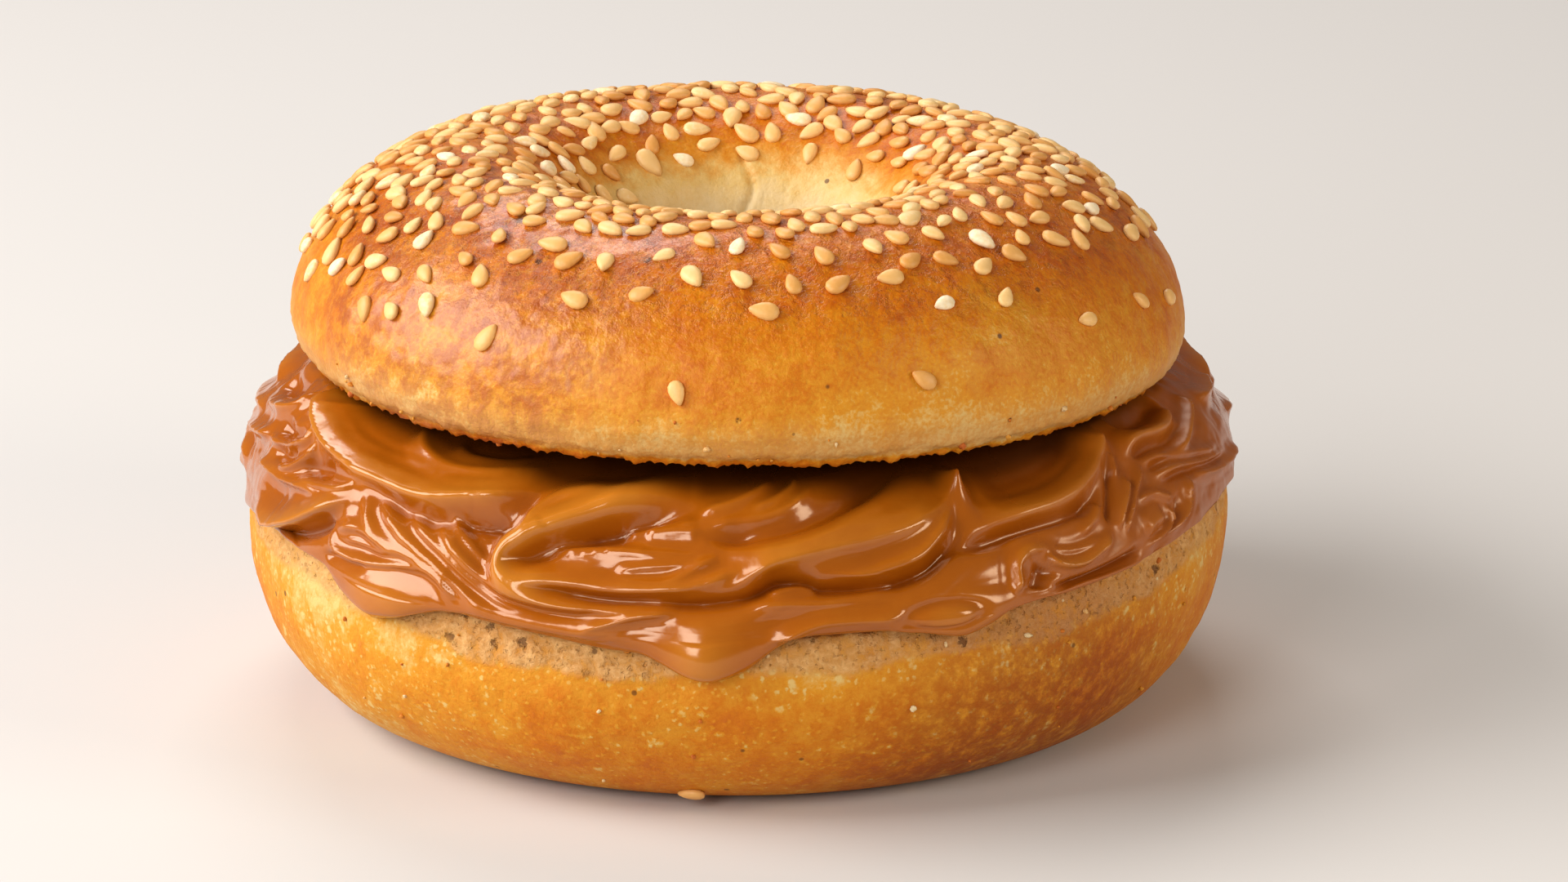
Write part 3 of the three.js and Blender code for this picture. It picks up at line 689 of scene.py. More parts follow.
# %% Crumbs
# how many on the flank and at the rim, how far to each side, and how far below and above the cuts
CRUMBS = dict(flank=34, rim=30, side=65, drop=1, fall=18, lift=0.4, climb=5, smallest=0.14,
              largest=0.42, roughness=0.2, squash=(0.6, 1.2), sit=0.4, draw=5)


def crumb_mesh(draw):
    c = CRUMBS
    form, faces, _ = seed_form(8, 6)
    shapes, tones = [], []
    for number in range(c["flank"] + c["rim"]):
        degrees = draw.uniform(-c["side"], c["side"])
        if number < c["flank"]:
            height = rim_height(degrees) - c["drop"] - c["fall"] * draw.random() ** 1.5
            place, up = on_skin(bottom_grid, degrees, height)
        else:
            height = TOP["underside"] + c["lift"] + c["climb"] * draw.random() ** 2
            place, up = on_skin(top_grid, degrees, height)
        size = mix(c["smallest"], c["largest"], draw.random() ** 2)
        rough = 1 + c["roughness"] * draw.normal(size=(len(form), 1))
        shape = form * rough * draw.uniform(*c["squash"], 3)
        shapes.append(shape * size + place + up * size * c["sit"])
        tones.append(draw.random())
    return *joined(shapes, faces), {"tone": np.repeat(tones, len(form))}


crumbs = piece_from("loose_crumbs", *crumb_mesh(np.random.default_rng(CRUMBS["draw"])))

# %% [markdown]
# ## The spread
#
# Caramel spread is stiff enough to keep each stroke of the knife and soft enough to sag
# over the edge. The layer is built in two steps. First a smooth cushion: it fills the gap
# where the halves nearly touch it, draws back under the top half at the two sides of the
# front and a little at the back, and hangs over the rim in drips. Its section is a line of
# points in radius and height, mixed between a filled and a drawn-back one.

# %% The smooth cushion
SPREAD = dict(inner=16.6, bulge=0.5, lip_gap=0.4, tuck=1.3, fullness=0.28, drawn_in=1.15, lean=0.35,
              length=20, clearance=0.3, gap=1.4)
FILLED_LINE = np.array([[57.9, -0.12], [58.6, 0.06], [58.2, 0.25], [57.0, 0.47], [54.8, 0.69],
                        [51.6, 0.86], [46.5, 0.955]])
DRAWN_LINE = np.array([[58.2, -0.09], [59.0, 0.06], [58.2, 0.21], [56.0, 0.42], [51.8, 0.64],
                       [46.0, 0.82], [38.0, 0.985]])
RECESSES = [(-22, 26, 1), (28, 26, 1), (150, 30, 0.6), (230, 30, 0.5)]  # angle, half width, depth
HALF_WINDOW = 7  # half of the window that rounds the drips, in quarter degrees

# how far the spread hangs below the rim at each angle, in millimetres
HANG = [(-180, 4.4), (-168, 1.6), (-157, 0.1), (-148, 2.8), (-138, 1.4), (-128, 0.1), (-120, 1.4),
        (-110, 0.1), (-102, 1.6), (-93, 4.6), (-86, 3.4), (-80, 2), (-70, 0.5), (-60, -0.4), (-55, -0.9),
        (-52, 0.6), (-50, 1.9), (-47, 2.9), (-44, 3.5), (-40, 2.4), (-37, 1), (-33, -0.3), (-30, 0.3),
        (-20, 0.9), (-15, 1.5), (-10.5, 1.7), (-8, 2.9), (-5.5, 4.2), (-3.2, 4.8), (-1, 4.3), (1, 3.4),
        (3.7, 1.3), (5.6, 0.2), (9, -0.6), (15, -0.2), (20, 0.6), (24.5, 2.1), (28.5, 1.1), (30, 0),
        (32, -1.6), (37, -1.5), (40, -1.2), (45, -0.8), (50, -0.5), (60, -0.7), (68, -2), (80, -2),
        (90, -1.4), (98, -0.6), (103, -0.3), (110, 1.3), (118, 2.3), (127, 0.6), (140, -0.1), (150, 1.3),
        (158, 0.1), (168, 2.2)]


def hang_at(degrees):
    angles, drops = np.array(HANG, float).T
    fine = np.arange(-180, 180, 0.25)
    drop = np.interp(fine, angles, drops, period=360)
    window = np.hanning(2 * HALF_WINDOW + 1)
    padded = np.concatenate([drop[-HALF_WINDOW:], drop, drop[:HALF_WINDOW]])
    soft = np.convolve(padded, window / window.sum(), "valid")
    return np.interp(degrees, fine, soft, period=360)


def recess_at(degrees):
    share = sum(depth * bell(turn(middle, degrees), width) for middle, width, depth in RECESSES)
    return np.clip(share, 0, 1)


def along_line(line, share):
    """Catmull-Rom curve through the points of a line."""
    last = len(line) - 1
    i = np.minimum((share * last).astype(int), last - 1)
    f = (share * last - i)[..., None]
    a, b, c, d = (line[np.clip(i + k, 0, last)] for k in (-1, 0, 1, 2))
    bend = 2 * a - 5 * b + 4 * c - d
    twist = -a + 3 * b - 3 * c + d
    return 0.5 * (2 * b + (c - a) * f + bend * f**2 + twist * f**3)


print("the front drip hangs", round(float(hang_at(-3.2)), 1), "mm below the rim")

# %% The lip and the cushion's surface
def side_radius(height, degrees):
    low = BOTTOM["widest_height"]
    share = np.clip((height - low) / (rim_height(degrees) - low), 0, 1)
    return BOTTOM["widest"] - (BOTTOM["widest"] - BOTTOM["rim"]) * share**2


def lip_point(degrees, hang):
    gap = SPREAD["lip_gap"]
    short_radius = BOTTOM["rim"] + gap + SPREAD["tuck"] * hang
    short_height = cut_height(short_radius, degrees) + gap
    low_height = rim_height(degrees) + gap - hang
    low_radius = side_radius(low_height, degrees) + gap
    short = hang < 0
    return np.where(short, short_radius, low_radius), np.where(short, short_height, low_height)


def smooth_surface(degrees, up):
    """The spread before any stroke. up is 0 at the lower lip and 1 at the top half."""
    recess, hang, low = recess_at(degrees), hang_at(degrees), rim_height(degrees)
    lip_share = 1 / (len(FILLED_LINE) - 1)
    level = np.maximum(up, lip_share)
    line = mix(along_line(FILLED_LINE, level), along_line(DRAWN_LINE, level), recess[..., None])
    sideways = np.sin(np.radians(degrees))
    radius = line[..., 0] - (SPREAD["drawn_in"] - SPREAD["lean"] * sideways) * sideways**2
    lid = lid_height(radius * sideways)
    height = low + line[..., 1] * (lid - low)
    share = np.clip(up / lip_share, 0, 1)
    bulge = SPREAD["fullness"] * np.maximum(hang, 0) * (1 - share)
    lip_radius, lip_height = lip_point(degrees, hang)
    at_lip = up < lip_share
    radius = np.where(at_lip, mix(lip_radius, radius + bulge, np.sqrt(1 - (1 - share) ** 2)), radius)
    height = np.where(at_lip, mix(lip_height, height, share), height)
    return on_ring(radius, degrees, height)


front_lip = smooth_surface(np.array([-3.2]), np.array([0.0]))[0]
print("lowest point of the front drip in mm:", front_lip.round(1))

# %% [markdown]
# Then come the strokes. Each is a ridge or a groove along a path on the unrolled surface:
# how high it is, how wide on its upper and lower side, how sharp its crest is, and the
# path, in degrees round the bagel and shares of the way up. A later stroke partly wipes
# out what lies under it, as a knife does, and carries a few fine lines beside its crest,
# from the blade's edge. They are laid group by group, and their order counts.

# %% Strokes of the bowl on the left, the ropes and the tongue
STROKES = [
    # the wide bowl on the left: its inner swirls, rim, hollow and the crease under the rim
    (-0.8, 3.6, 2.6, 2.0, [(-63, 0.84), (-56, 0.78), (-46, 0.76), (-36, 0.78), (-28, 0.85)]),
    (0.7, 0.8, 1.5, 1.3, [(-50, 0.93), (-48, 0.875), (-44.5, 0.81), (-40, 0.775), (-35.5, 0.78), (-31, 0.8),
                          (-25, 0.83)]),
    (0.4, 0.5, 0.8, 1.3, [(-43, 0.88), (-39, 0.84), (-34, 0.835), (-28, 0.86)]),
    (1.8, 2.6, 1.0, 1.3, [(-69.5, 0.93), (-69.5, 0.85), (-67, 0.79), (-60, 0.7), (-53, 0.655),
                          (-48.5, 0.643), (-41, 0.632), (-37.5, 0.645), (-34.5, 0.665), (-31, 0.69),
                          (-27, 0.73), (-22, 0.77)]),
    (-1.1, 0.6, 0.8, 1.4, [(-50, 0.612), (-43.5, 0.575), (-39, 0.56), (-36, 0.57), (-29.5, 0.6),
                           (-24.5, 0.64)]),
    # the ropes that sweep from the bowl down to the front
    (0.9, 1.6, 1.8, 2.0, [(-32, 0.27), (-28, 0.23), (-23, 0.2), (-17, 0.185), (-11, 0.18)]),
    (0.75, 0.75, 0.8, 1.8, [(-49.5, 0.575), (-47.8, 0.52), (-45.8, 0.46), (-43, 0.425), (-40, 0.405),
                            (-37, 0.38), (-34.3, 0.335), (-32.8, 0.28), (-31.5, 0.235)]),
    (0.8, 0.75, 0.75, 1.8, [(-46.8, 0.585), (-44.3, 0.53), (-41.3, 0.478), (-38, 0.435), (-35, 0.395),
                            (-32.4, 0.34), (-30, 0.28), (-27.5, 0.235)]),
    (0.75, 0.7, 0.7, 1.8, [(-43.3, 0.59), (-40, 0.54), (-37, 0.49), (-34.2, 0.445), (-31.6, 0.39),
                           (-28.5, 0.325), (-25.5, 0.275), (-22, 0.25)]),
    (0.95, 0.95, 0.8, 1.8, [(-39, 0.6), (-36.3, 0.545), (-33.7, 0.487), (-31, 0.43), (-27.7, 0.37),
                            (-24, 0.335), (-20.5, 0.322), (-17, 0.325), (-13.5, 0.335), (-10, 0.35),
                            (-6, 0.362)]),
    (0.35, 0.45, 0.5, 1.5, [(-36.3, 0.59), (-34, 0.555), (-31.8, 0.51), (-29.5, 0.46), (-27.5, 0.42)]),
    # the thick tongue that folds back on itself, and the hollow behind it
    (-1.4, 0.8, 0.9, 1.6, [(-25, 0.49), (-23.3, 0.54), (-20.5, 0.582), (-17.5, 0.612), (-14, 0.645),
                           (-10, 0.68), (-6, 0.71)]),
    (2.1, 1.6, 1.4, 2.3, [(-13, 0.412), (-17, 0.404), (-21.5, 0.402), (-25, 0.415), (-26.7, 0.452),
                          (-26.9, 0.505), (-26, 0.555), (-24, 0.597), (-21, 0.647), (-17.5, 0.7),
                          (-13.5, 0.75), (-9.5, 0.79), (-6, 0.815)]),
    (1.1, 1.0, 1.1, 2.0, [(-25, 0.6), (-25.2, 0.645), (-24.4, 0.695), (-22.6, 0.738), (-19.5, 0.765),
                          (-15, 0.785)]),
]
print("strokes with the bowl, ropes and tongue:", len(STROKES))

# %% Strokes of the sheets, the crescents and the long fold with its peak
STROKES += [
    # the sheets across the front and the long crease under them
    (0.5, 0.5, 0.9, 1.4, [(-22, 0.54), (-18.5, 0.56), (-14, 0.567), (-9, 0.562), (-3, 0.565)]),
    (0.45, 0.5, 0.6, 1.4, [(-14, 0.63), (-11, 0.65), (-8, 0.672), (-4, 0.69)]),
    (0.4, 0.4, 0.6, 1.4, [(-11, 0.64), (-8, 0.648), (-4, 0.655)]),
    (0.45, 0.5, 0.6, 1.4, [(-14, 0.49), (-10.5, 0.513), (-6, 0.53), (-2, 0.55)]),
    (0.5, 0.5, 0.6, 1.4, [(-15.5, 0.447), (-11.5, 0.45), (-8.3, 0.457), (-6.2, 0.487), (-4, 0.53),
                          (-2, 0.555)]),
    (0.8, 0.8, 0.7, 1.5, [(-19, 0.402), (-13.5, 0.411), (-9.5, 0.424), (-6, 0.442), (-2.7, 0.47),
                          (0.5, 0.52)]),
    (-1.3, 0.6, 0.8, 1.4, [(-24.7, 0.4), (-20.5, 0.388), (-15, 0.376), (-10, 0.372), (-4, 0.372),
                           (0.5, 0.395), (3, 0.435), (5.3, 0.478)]),
    (0.8, 1.2, 0.8, 1.5, [(-17, 0.2), (-13.5, 0.255), (-10.5, 0.306), (-6, 0.345)]),
    # the crescents under the top half
    (1.0, 1.0, 1.1, 1.5, [(-5, 0.655), (-2, 0.675), (0.5, 0.688), (3, 0.702), (5.5, 0.725), (7.8, 0.765),
                          (10, 0.82)]),
    (0.7, 0.8, 0.8, 1.5, [(-5, 0.72), (-1.5, 0.75), (1.5, 0.79), (5, 0.855)]),
    (0.5, 0.6, 0.6, 1.5, [(1.5, 0.735), (4, 0.765), (6.5, 0.81), (8, 0.86)]),
    (-1.6, 1.4, 0.6, 1.6, [(-4.5, 0.64), (-1, 0.628), (3, 0.633), (7, 0.655), (10.5, 0.69), (14, 0.74),
                           (17.5, 0.785), (22, 0.84)]),
    # the long diagonal fold that ends in a peak, a second one under it and the crease below both
    (1.4, 3.2, 0.9, 1.3, [(-1, 0.45), (1.2, 0.49), (4, 0.535), (7.5, 0.563), (11, 0.58), (14.5, 0.595),
                          (18.3, 0.612), (21.3, 0.632), (24.5, 0.675), (28.3, 0.74)]),
    (0.9, 1.1, 0.7, 1.4, [(8.5, 0.505), (12, 0.475), (14.5, 0.472), (16.5, 0.488), (19.8, 0.512),
                          (22, 0.545), (24, 0.592), (25.8, 0.645), (28, 0.72)]),
    (-1.5, 0.7, 0.7, 1.4, [(0.8, 0.4), (2.7, 0.437), (4.2, 0.463), (7, 0.455), (9.2, 0.423), (12.7, 0.413),
                           (16, 0.414), (19.7, 0.445), (21.5, 0.47), (23.5, 0.515), (25.8, 0.56),
                           (27, 0.62)]),
    (0.5, 0.4, 0.5, 1.4, [(2.8, 0.405), (5.2, 0.43), (7, 0.433), (8.8, 0.405)]),
    (0.7, 0.6, 1.4, 1.4, [(0.3, 0.365), (4, 0.37), (8.3, 0.366), (11.8, 0.376), (15, 0.388), (18, 0.395)]),
    (0.8, 1.2, 1.2, 1.5, [(3, 0.12), (5, 0.175), (7.2, 0.228), (9.4, 0.255), (12.7, 0.255), (16, 0.25),
                          (18.5, 0.265)]),
]
print("strokes with the sheets, crescents and fold:", len(STROKES))

# %% Strokes of the channel, the hook and the blades on the right
STROKES += [
    # the wide channel on the right, its edge that climbs at the right, and the bands under that
    (-1.1, 2.6, 2.6, 2.0, [(32, 0.73), (37, 0.73), (43, 0.75), (48, 0.8), (51, 0.86)]),
    (1.3, 1.8, 0.9, 1.5, [(28.5, 0.583), (32, 0.587), (36, 0.6), (40, 0.612), (43.5, 0.632), (47.5, 0.68),
                          (50.3, 0.732), (53, 0.79), (54.4, 0.85), (55, 0.91)]),
    (-1.3, 0.6, 0.8, 1.5, [(24.5, 0.515), (28.3, 0.53), (32, 0.544), (36, 0.547), (41, 0.54), (45, 0.57),
                           (48, 0.625)]),
    (0.5, 0.6, 0.8, 1.5, [(31, 0.5), (35, 0.512), (40, 0.518), (44, 0.53)]),
    (0.6, 0.7, 0.7, 1.6, [(41.5, 0.46), (43.5, 0.492), (45.2, 0.53), (46, 0.565)]),
    # the hook round a shallow notch, the folded lip beside it and the shadowed hollow under that
    (0.9, 0.6, 0.8, 1.5, [(31, 0.25), (31.5, 0.34), (32, 0.42), (33.8, 0.46), (37, 0.452)]),
    (-1.0, 1.1, 1.3, 2.0, [(33.8, 0.24), (34.5, 0.31), (35.5, 0.375)]),
    (-1.3, 0.9, 1.1, 1.6, [(35.5, 0.23), (40, 0.2), (44, 0.21), (48, 0.225), (50.5, 0.25)]),
    (1.2, 0.7, 0.7, 1.5, [(36.2, 0.44), (36.8, 0.385), (38.5, 0.348), (40.5, 0.338), (42.5, 0.36),
                          (44.8, 0.39), (46, 0.43)]),
    (0.4, 0.4, 0.4, 1.4, [(37, 0.435), (39.5, 0.405), (42, 0.4), (44, 0.42)]),
    # the blades that stand up where the knife let go
    (-0.9, 0.5, 0.6, 1.5, [(51.3, 0.68), (49.6, 0.6), (47.8, 0.53), (46.2, 0.46)]),
    (0.8, 0.6, 0.5, 1.4, [(52.8, 0.615), (51.2, 0.555), (49, 0.495), (47.3, 0.42)]),
    (-0.5, 0.4, 0.4, 1.5, [(54.2, 0.605), (52.4, 0.545), (50.1, 0.487), (48.5, 0.425)]),
    (0.8, 0.5, 0.5, 1.4, [(56.3, 0.64), (54, 0.575), (51.4, 0.508), (49.4, 0.447), (48.4, 0.385)]),
    (0.5, 0.4, 0.4, 1.4, [(53.4, 0.73), (52.4, 0.685), (51.4, 0.635)]),
]
print("strokes with the channel, hook and blades:", len(STROKES))

# %% Strokes of the lobe and the streaks on the far right
STROKES += [
    # the smooth lobe beyond the blades and the twisted ridges at its lower edge
    (0.6, 0.5, 0.7, 1.5, [(52.3, 0.495), (55, 0.503), (57, 0.468), (58.5, 0.43)]),
    (0.7, 1.4, 1.4, 2.0, [(51.5, 0.36), (53.8, 0.38), (55.5, 0.37)]),
    (0.7, 0.5, 0.5, 1.4, [(56.4, 0.415), (57.1, 0.36), (56.6, 0.31), (54.3, 0.278), (51.5, 0.235)]),
    (-0.6, 0.4, 0.5, 1.5, [(59.5, 0.42), (59.3, 0.36), (57.8, 0.305), (55.5, 0.255)]),
    (0.8, 0.5, 0.6, 1.4, [(64, 0.47), (62.2, 0.42), (61.3, 0.355), (59, 0.3), (56, 0.24)]),
    # the crescents on the far right and the long streaks under them
    (-1.1, 2.0, 2.0, 2.0, [(59, 0.86), (65, 0.83), (71, 0.84)]),
    (1.2, 0.9, 1.0, 1.5, [(54.8, 0.695), (57, 0.743), (59.5, 0.755), (62.5, 0.745), (66, 0.75), (69, 0.785),
                          (71, 0.85)]),
    (-0.8, 0.6, 0.7, 1.5, [(56, 0.675), (60, 0.688), (65, 0.668), (69, 0.69)]),
    (1.0, 0.6, 0.8, 1.4, [(76.5, 0.81), (75, 0.73), (71.5, 0.683), (67.5, 0.637), (63.5, 0.6)]),
    (0.7, 0.6, 0.6, 1.5, [(55.5, 0.64), (59.5, 0.635), (63, 0.585), (69, 0.53), (76, 0.47)]),
    (-0.7, 0.5, 0.5, 1.5, [(57, 0.6), (61, 0.595), (65, 0.55), (72, 0.48)]),
    (0.7, 0.6, 0.6, 1.5, [(57.5, 0.558), (60.5, 0.56), (65.5, 0.52), (71, 0.465), (78, 0.41)]),
    (-0.7, 0.6, 0.6, 1.5, [(58, 0.52), (63, 0.51), (69, 0.45), (76, 0.39)]),
    (0.7, 0.7, 0.7, 1.5, [(65, 0.47), (70, 0.41), (78, 0.34), (86, 0.3)]),
    (1.0, 1.2, 1.0, 1.5, [(80, 0.7), (86, 0.66), (92, 0.68)]),
]
print("strokes with the lobe and far right:", len(STROKES))

# %% Strokes of the left drip and the crumpled far left
STROKES += [
    # the leaf on the left drip, the hook round it and the hollow under that
    (0.55, 0.6, 0.8, 1.5, [(-51.5, 0.39), (-49, 0.43), (-46, 0.432), (-43.3, 0.402), (-40, 0.38)]),
    (0.25, 0.35, 0.35, 1.4, [(-49.5, 0.36), (-46, 0.375), (-42, 0.37)]),
    (0.5, 0.5, 0.55, 1.5, [(-52.3, 0.375), (-51.3, 0.31), (-48, 0.285), (-43, 0.32), (-39.5, 0.35),
                           (-35, 0.362)]),
    (-0.5, 0.5, 0.7, 1.6, [(-53, 0.22), (-50.5, 0.238), (-47.5, 0.25), (-44.5, 0.275)]),
    # the long ridge on the far left, the shadow under it and the crumpled facets over it
    (-1.0, 0.9, 0.9, 1.6, [(-66, 0.12), (-60, 0.22), (-55.5, 0.32), (-52.5, 0.42)]),
    (1.6, 1.6, 0.8, 1.5, [(-74, 0.21), (-67, 0.205), (-60.3, 0.315), (-57, 0.388), (-54, 0.46),
                          (-50.5, 0.535)]),
    (0.8, 0.7, 0.5, 1.3, [(-78, 0.41), (-71, 0.44), (-66, 0.445), (-61, 0.475), (-56, 0.49)]),
    (-0.9, 0.9, 0.9, 2.0, [(-63, 0.55), (-59.5, 0.57), (-56.5, 0.6)]),
    (-0.9, 0.8, 0.8, 2.0, [(-71.5, 0.52), (-68, 0.53), (-65.5, 0.56)]),
    (-1.0, 0.9, 0.9, 2.0, [(-74, 0.62), (-70, 0.6), (-66.5, 0.645)]),
    (0.8, 0.6, 0.6, 1.2, [(-76, 0.54), (-71, 0.563), (-67, 0.6), (-64, 0.66), (-64.5, 0.74)]),
    (0.8, 0.6, 0.6, 1.2, [(-69, 0.475), (-65.5, 0.51), (-63.5, 0.56), (-62, 0.62), (-62, 0.69)]),
    (0.7, 0.5, 0.5, 1.2, [(-62, 0.5), (-58, 0.518), (-54, 0.545), (-51, 0.59)]),
    (-1.0, 1.3, 1.3, 2.0, [(-86, 0.72), (-81, 0.74), (-77, 0.8)]),
    (0.9, 0.9, 0.9, 1.4, [(-86, 0.6), (-80, 0.64), (-75.5, 0.69), (-73, 0.76), (-73, 0.84)]),
    (1.0, 1.0, 0.8, 1.4, [(-92, 0.4), (-86, 0.45), (-80, 0.5), (-76, 0.54)]),
]
print("strokes with the left drip and far left:", len(STROKES))

# %% The strokes on the back follow one rule
BACK = dict(start=92, end=276, rows=5, step=17, length=30, climb=0.2, sag=0.12, groove=-1.1, draw=20)


def back_strokes():
    draw, strokes = seeded_draw(BACK["draw"]), []
    for row in range(BACK["rows"]):
        level = (row + 0.7) / (BACK["rows"] + 0.4)
        start = BACK["start"]
        while start < BACK["end"] - BACK["step"]:
            length = min(BACK["length"] * (0.6 + 0.7 * next(draw)), BACK["end"] - start)
            climb = BACK["climb"] * (next(draw) - 0.5) * 2
            sag = BACK["sag"] * (next(draw) - 0.5)
            path = [(start + length * share, level + climb * (share - 0.5) + sag * np.sin(np.pi * share))
                    for share in (0, 0.33, 0.67, 1)]
            rise = BACK["groove"] if next(draw) < 0.3 else 0.8 + 0.7 * next(draw)
            strokes.append((rise, 1.3 + next(draw), 1.3 + 0.3 * next(draw), 1.5, path))
            start += BACK["step"] + 10 * next(draw)
    return strokes


all_strokes = [*back_strokes(), *STROKES]
print("strokes in all:", len(all_strokes))

# %% [markdown]
# A stroke's height at a point falls off with the distance from its path. The path is a
# smooth curve cut into short straight steps, and the nearest step gives the distance, the
# side and how far along the stroke the point is, so that both ends can run out softly.

# %% How strokes add up
STEPS_PER_KNOT = 6
STRENGTH = 1.6  # how much deeper the finished strokes are than in the solids
MOAT = dict(depth=0.3, width=2.6)  # how a ridge hollows out its own sides
ENDS = dict(share=0.22, left=0.1)  # over how much of its path a stroke runs out, and to what
WIPE = dict(share=0.4, width=1.1)  # how much a stroke wipes out of what lies under it
BLADE_LINES = dict(height=0.03, gap=1.15, reach=2.6)


def unroll(degrees, up):
    return np.stack(np.broadcast_arrays(np.radians(degrees) * MEAN_RADIUS, up * SPREAD["length"]), -1)


def smooth_path(path):
    knots = unroll(*np.array(path, float).T)
    return along_line(knots, np.linspace(0, 1, len(path) * STEPS_PER_KNOT))


def nearest_on(path, points):
    """Distance to a path, side of it from -1 to 1, and share of the way along it."""
    start, step = path[:-1], np.diff(path, axis=0)
    away = points[:, None] - start
    share = np.clip((away * step).sum(-1) / (step**2).sum(-1), 0, 1)
    gap = away - share[..., None] * step
    distance = np.hypot(gap[..., 0], gap[..., 1])
    best = distance.argmin(1)
    rows = np.arange(len(points))
    nearest = distance[rows, best]
    cross = step[best, 0] * gap[rows, best, 1] - step[best, 1] * gap[rows, best, 0]
    side = cross / np.maximum(nearest * np.hypot(*step[best].T), 1e-6)
    return nearest, np.clip(side, -1, 1), (best + share[rows, best]) / len(start)


def lay_stroke(relief, place, stroke):
    rise, above, below, edge, path = stroke
    line = smooth_path(path)
    reach = 4 * max(above, below)  # nothing of it is left further away
    near = ((place > line.min(0) - reach) & (place < line.max(0) + reach)).all(-1)
    if not near.any():
        return
    distance, side, along = nearest_on(line, place[near])
    width = mix(below, above, 0.5 + 0.5 * side)
    taper = smoothstep(along, 0, ENDS["share"]) * (1 - smoothstep(along, 1 - ENDS["share"], 1))
    crest = np.exp(-((distance / width) ** edge))
    moat = MOAT["depth"] * bell(distance, MOAT["width"] * width)
    height = STRENGTH * rise * mix(ENDS["left"], 1, taper) * (crest - moat)
    cover = WIPE["share"] * taper * bell(distance, WIPE["width"] * width)
    waves = np.cos(2 * np.pi * distance * side / BLADE_LINES["gap"])
    fine_lines = BLADE_LINES["height"] * waves * taper * bell(distance, BLADE_LINES["reach"])
    relief[near] = relief[near] * (1 - cover) + height + fine_lines


def strokes_at(degrees, up):
    relief = np.zeros(np.broadcast(degrees, up).shape)
    wrapped = turn(0, degrees)
    for stroke in all_strokes:
        for lap in (0, 360):
            lay_stroke(relief, unroll(wrapped + lap, up), stroke)
    return relief


first_path = smooth_path(STROKES[0][-1])
print("the first stroke is", np.hypot(*np.diff(first_path, axis=0).T).sum().round(1), "mm long")

# %% [markdown]
# Now the cushion and the strokes come together. Three drips swell a little, and one has a
# ring-shaped dimple. Where there are no big strokes, at the far left and right, small
# crumples stand for the places where the knife let go. Soft ridges sag, so each one also
# slides down a little by its own height, which makes it hang over its lower side. Where the
# knife was lifted off, the end of a fold is drawn up into a peak. Last, nothing may enter
# the bread: the surface is held above the lower cut and below the upper one, and one number
# marks what lies deep under the top half, where the spread's colour is painted dark as painted shade.

# %% The finished spread
SPREAD_COLUMNS = 900
OUTER_ROWS = 98
LOWEST, HIGHEST = -2.2, 2.8
# angle, half width, share of the way up, half height as a share, and millimetres out
SWELLS = [(-42, 7, 0.14, 0.17, 1.3), (-3.8, 4.4, 0.1, 0.16, 1.8), (23.5, 6.5, 0.2, 0.16, 1.3)]
DIMPLE = dict(middle=22.3, level=0.215, half=4.2, share=0.085, edge=0.3, depth=0.5)
CRUMPLED = dict(sides=(52, 66), back=(88, 110), less=0.4)  # degrees from the front
CALM = dict(below=0.07, above=0.92)  # shares of the way up where the strokes fade out

spread_degrees = column_angles(SPREAD_COLUMNS)
off_front = np.abs(turn(0, spread_degrees))
spread_up = np.linspace(0, 1, OUTER_ROWS)[None]
cushion = smooth_surface(*np.broadcast_arrays(spread_degrees, spread_up))
relief = strokes_at(spread_degrees, spread_up)
for middle, half, level, share, height in SWELLS:
    relief += height * bell(turn(middle, spread_degrees), half) * bell(spread_up - level, share)
across = turn(DIMPLE["middle"], spread_degrees) / DIMPLE["half"]
ring = np.hypot(across, (spread_up - DIMPLE["level"]) / DIMPLE["share"])
relief -= DIMPLE["depth"] * bell(ring - 1, DIMPLE["edge"])
at_sides = smoothstep(off_front, *CRUMPLED["sides"])
crumpled = at_sides * (1 - CRUMPLED["less"] * smoothstep(off_front, *CRUMPLED["back"]))
crumple = 0.3 * lumps(cushion * np.array([1, 1, 1.3]), 6.5, 2) + 0.15 * np.abs(lumps(cushion + 50, 3.0, 2))
relief += crumple * crumpled + 0.1 * lumps(cushion + 9, 4.5, 1)
relief = np.clip(relief, LOWEST, HIGHEST)
relief *= smoothstep(spread_up, 0, CALM["below"]) * (1 - smoothstep(spread_up, CALM["above"], 1))
print("relief of the strokes in mm:", relief.min().round(2), "to", relief.max().round(2))

# %% Closing the spread's ring
PEAK = dict(middle=28.6, level=0.735, reach=3.0, height=3.0, sharpness=2.2)
LEAN = np.array([0.1, -0.25, 1])  # the way the peak points
SAG = 0.35  # how far a ridge slides down, as a share of its height
DARK_GAP = dict(angles=(66, 78), radii=(40, 46))  # where a gap stays open under the top half


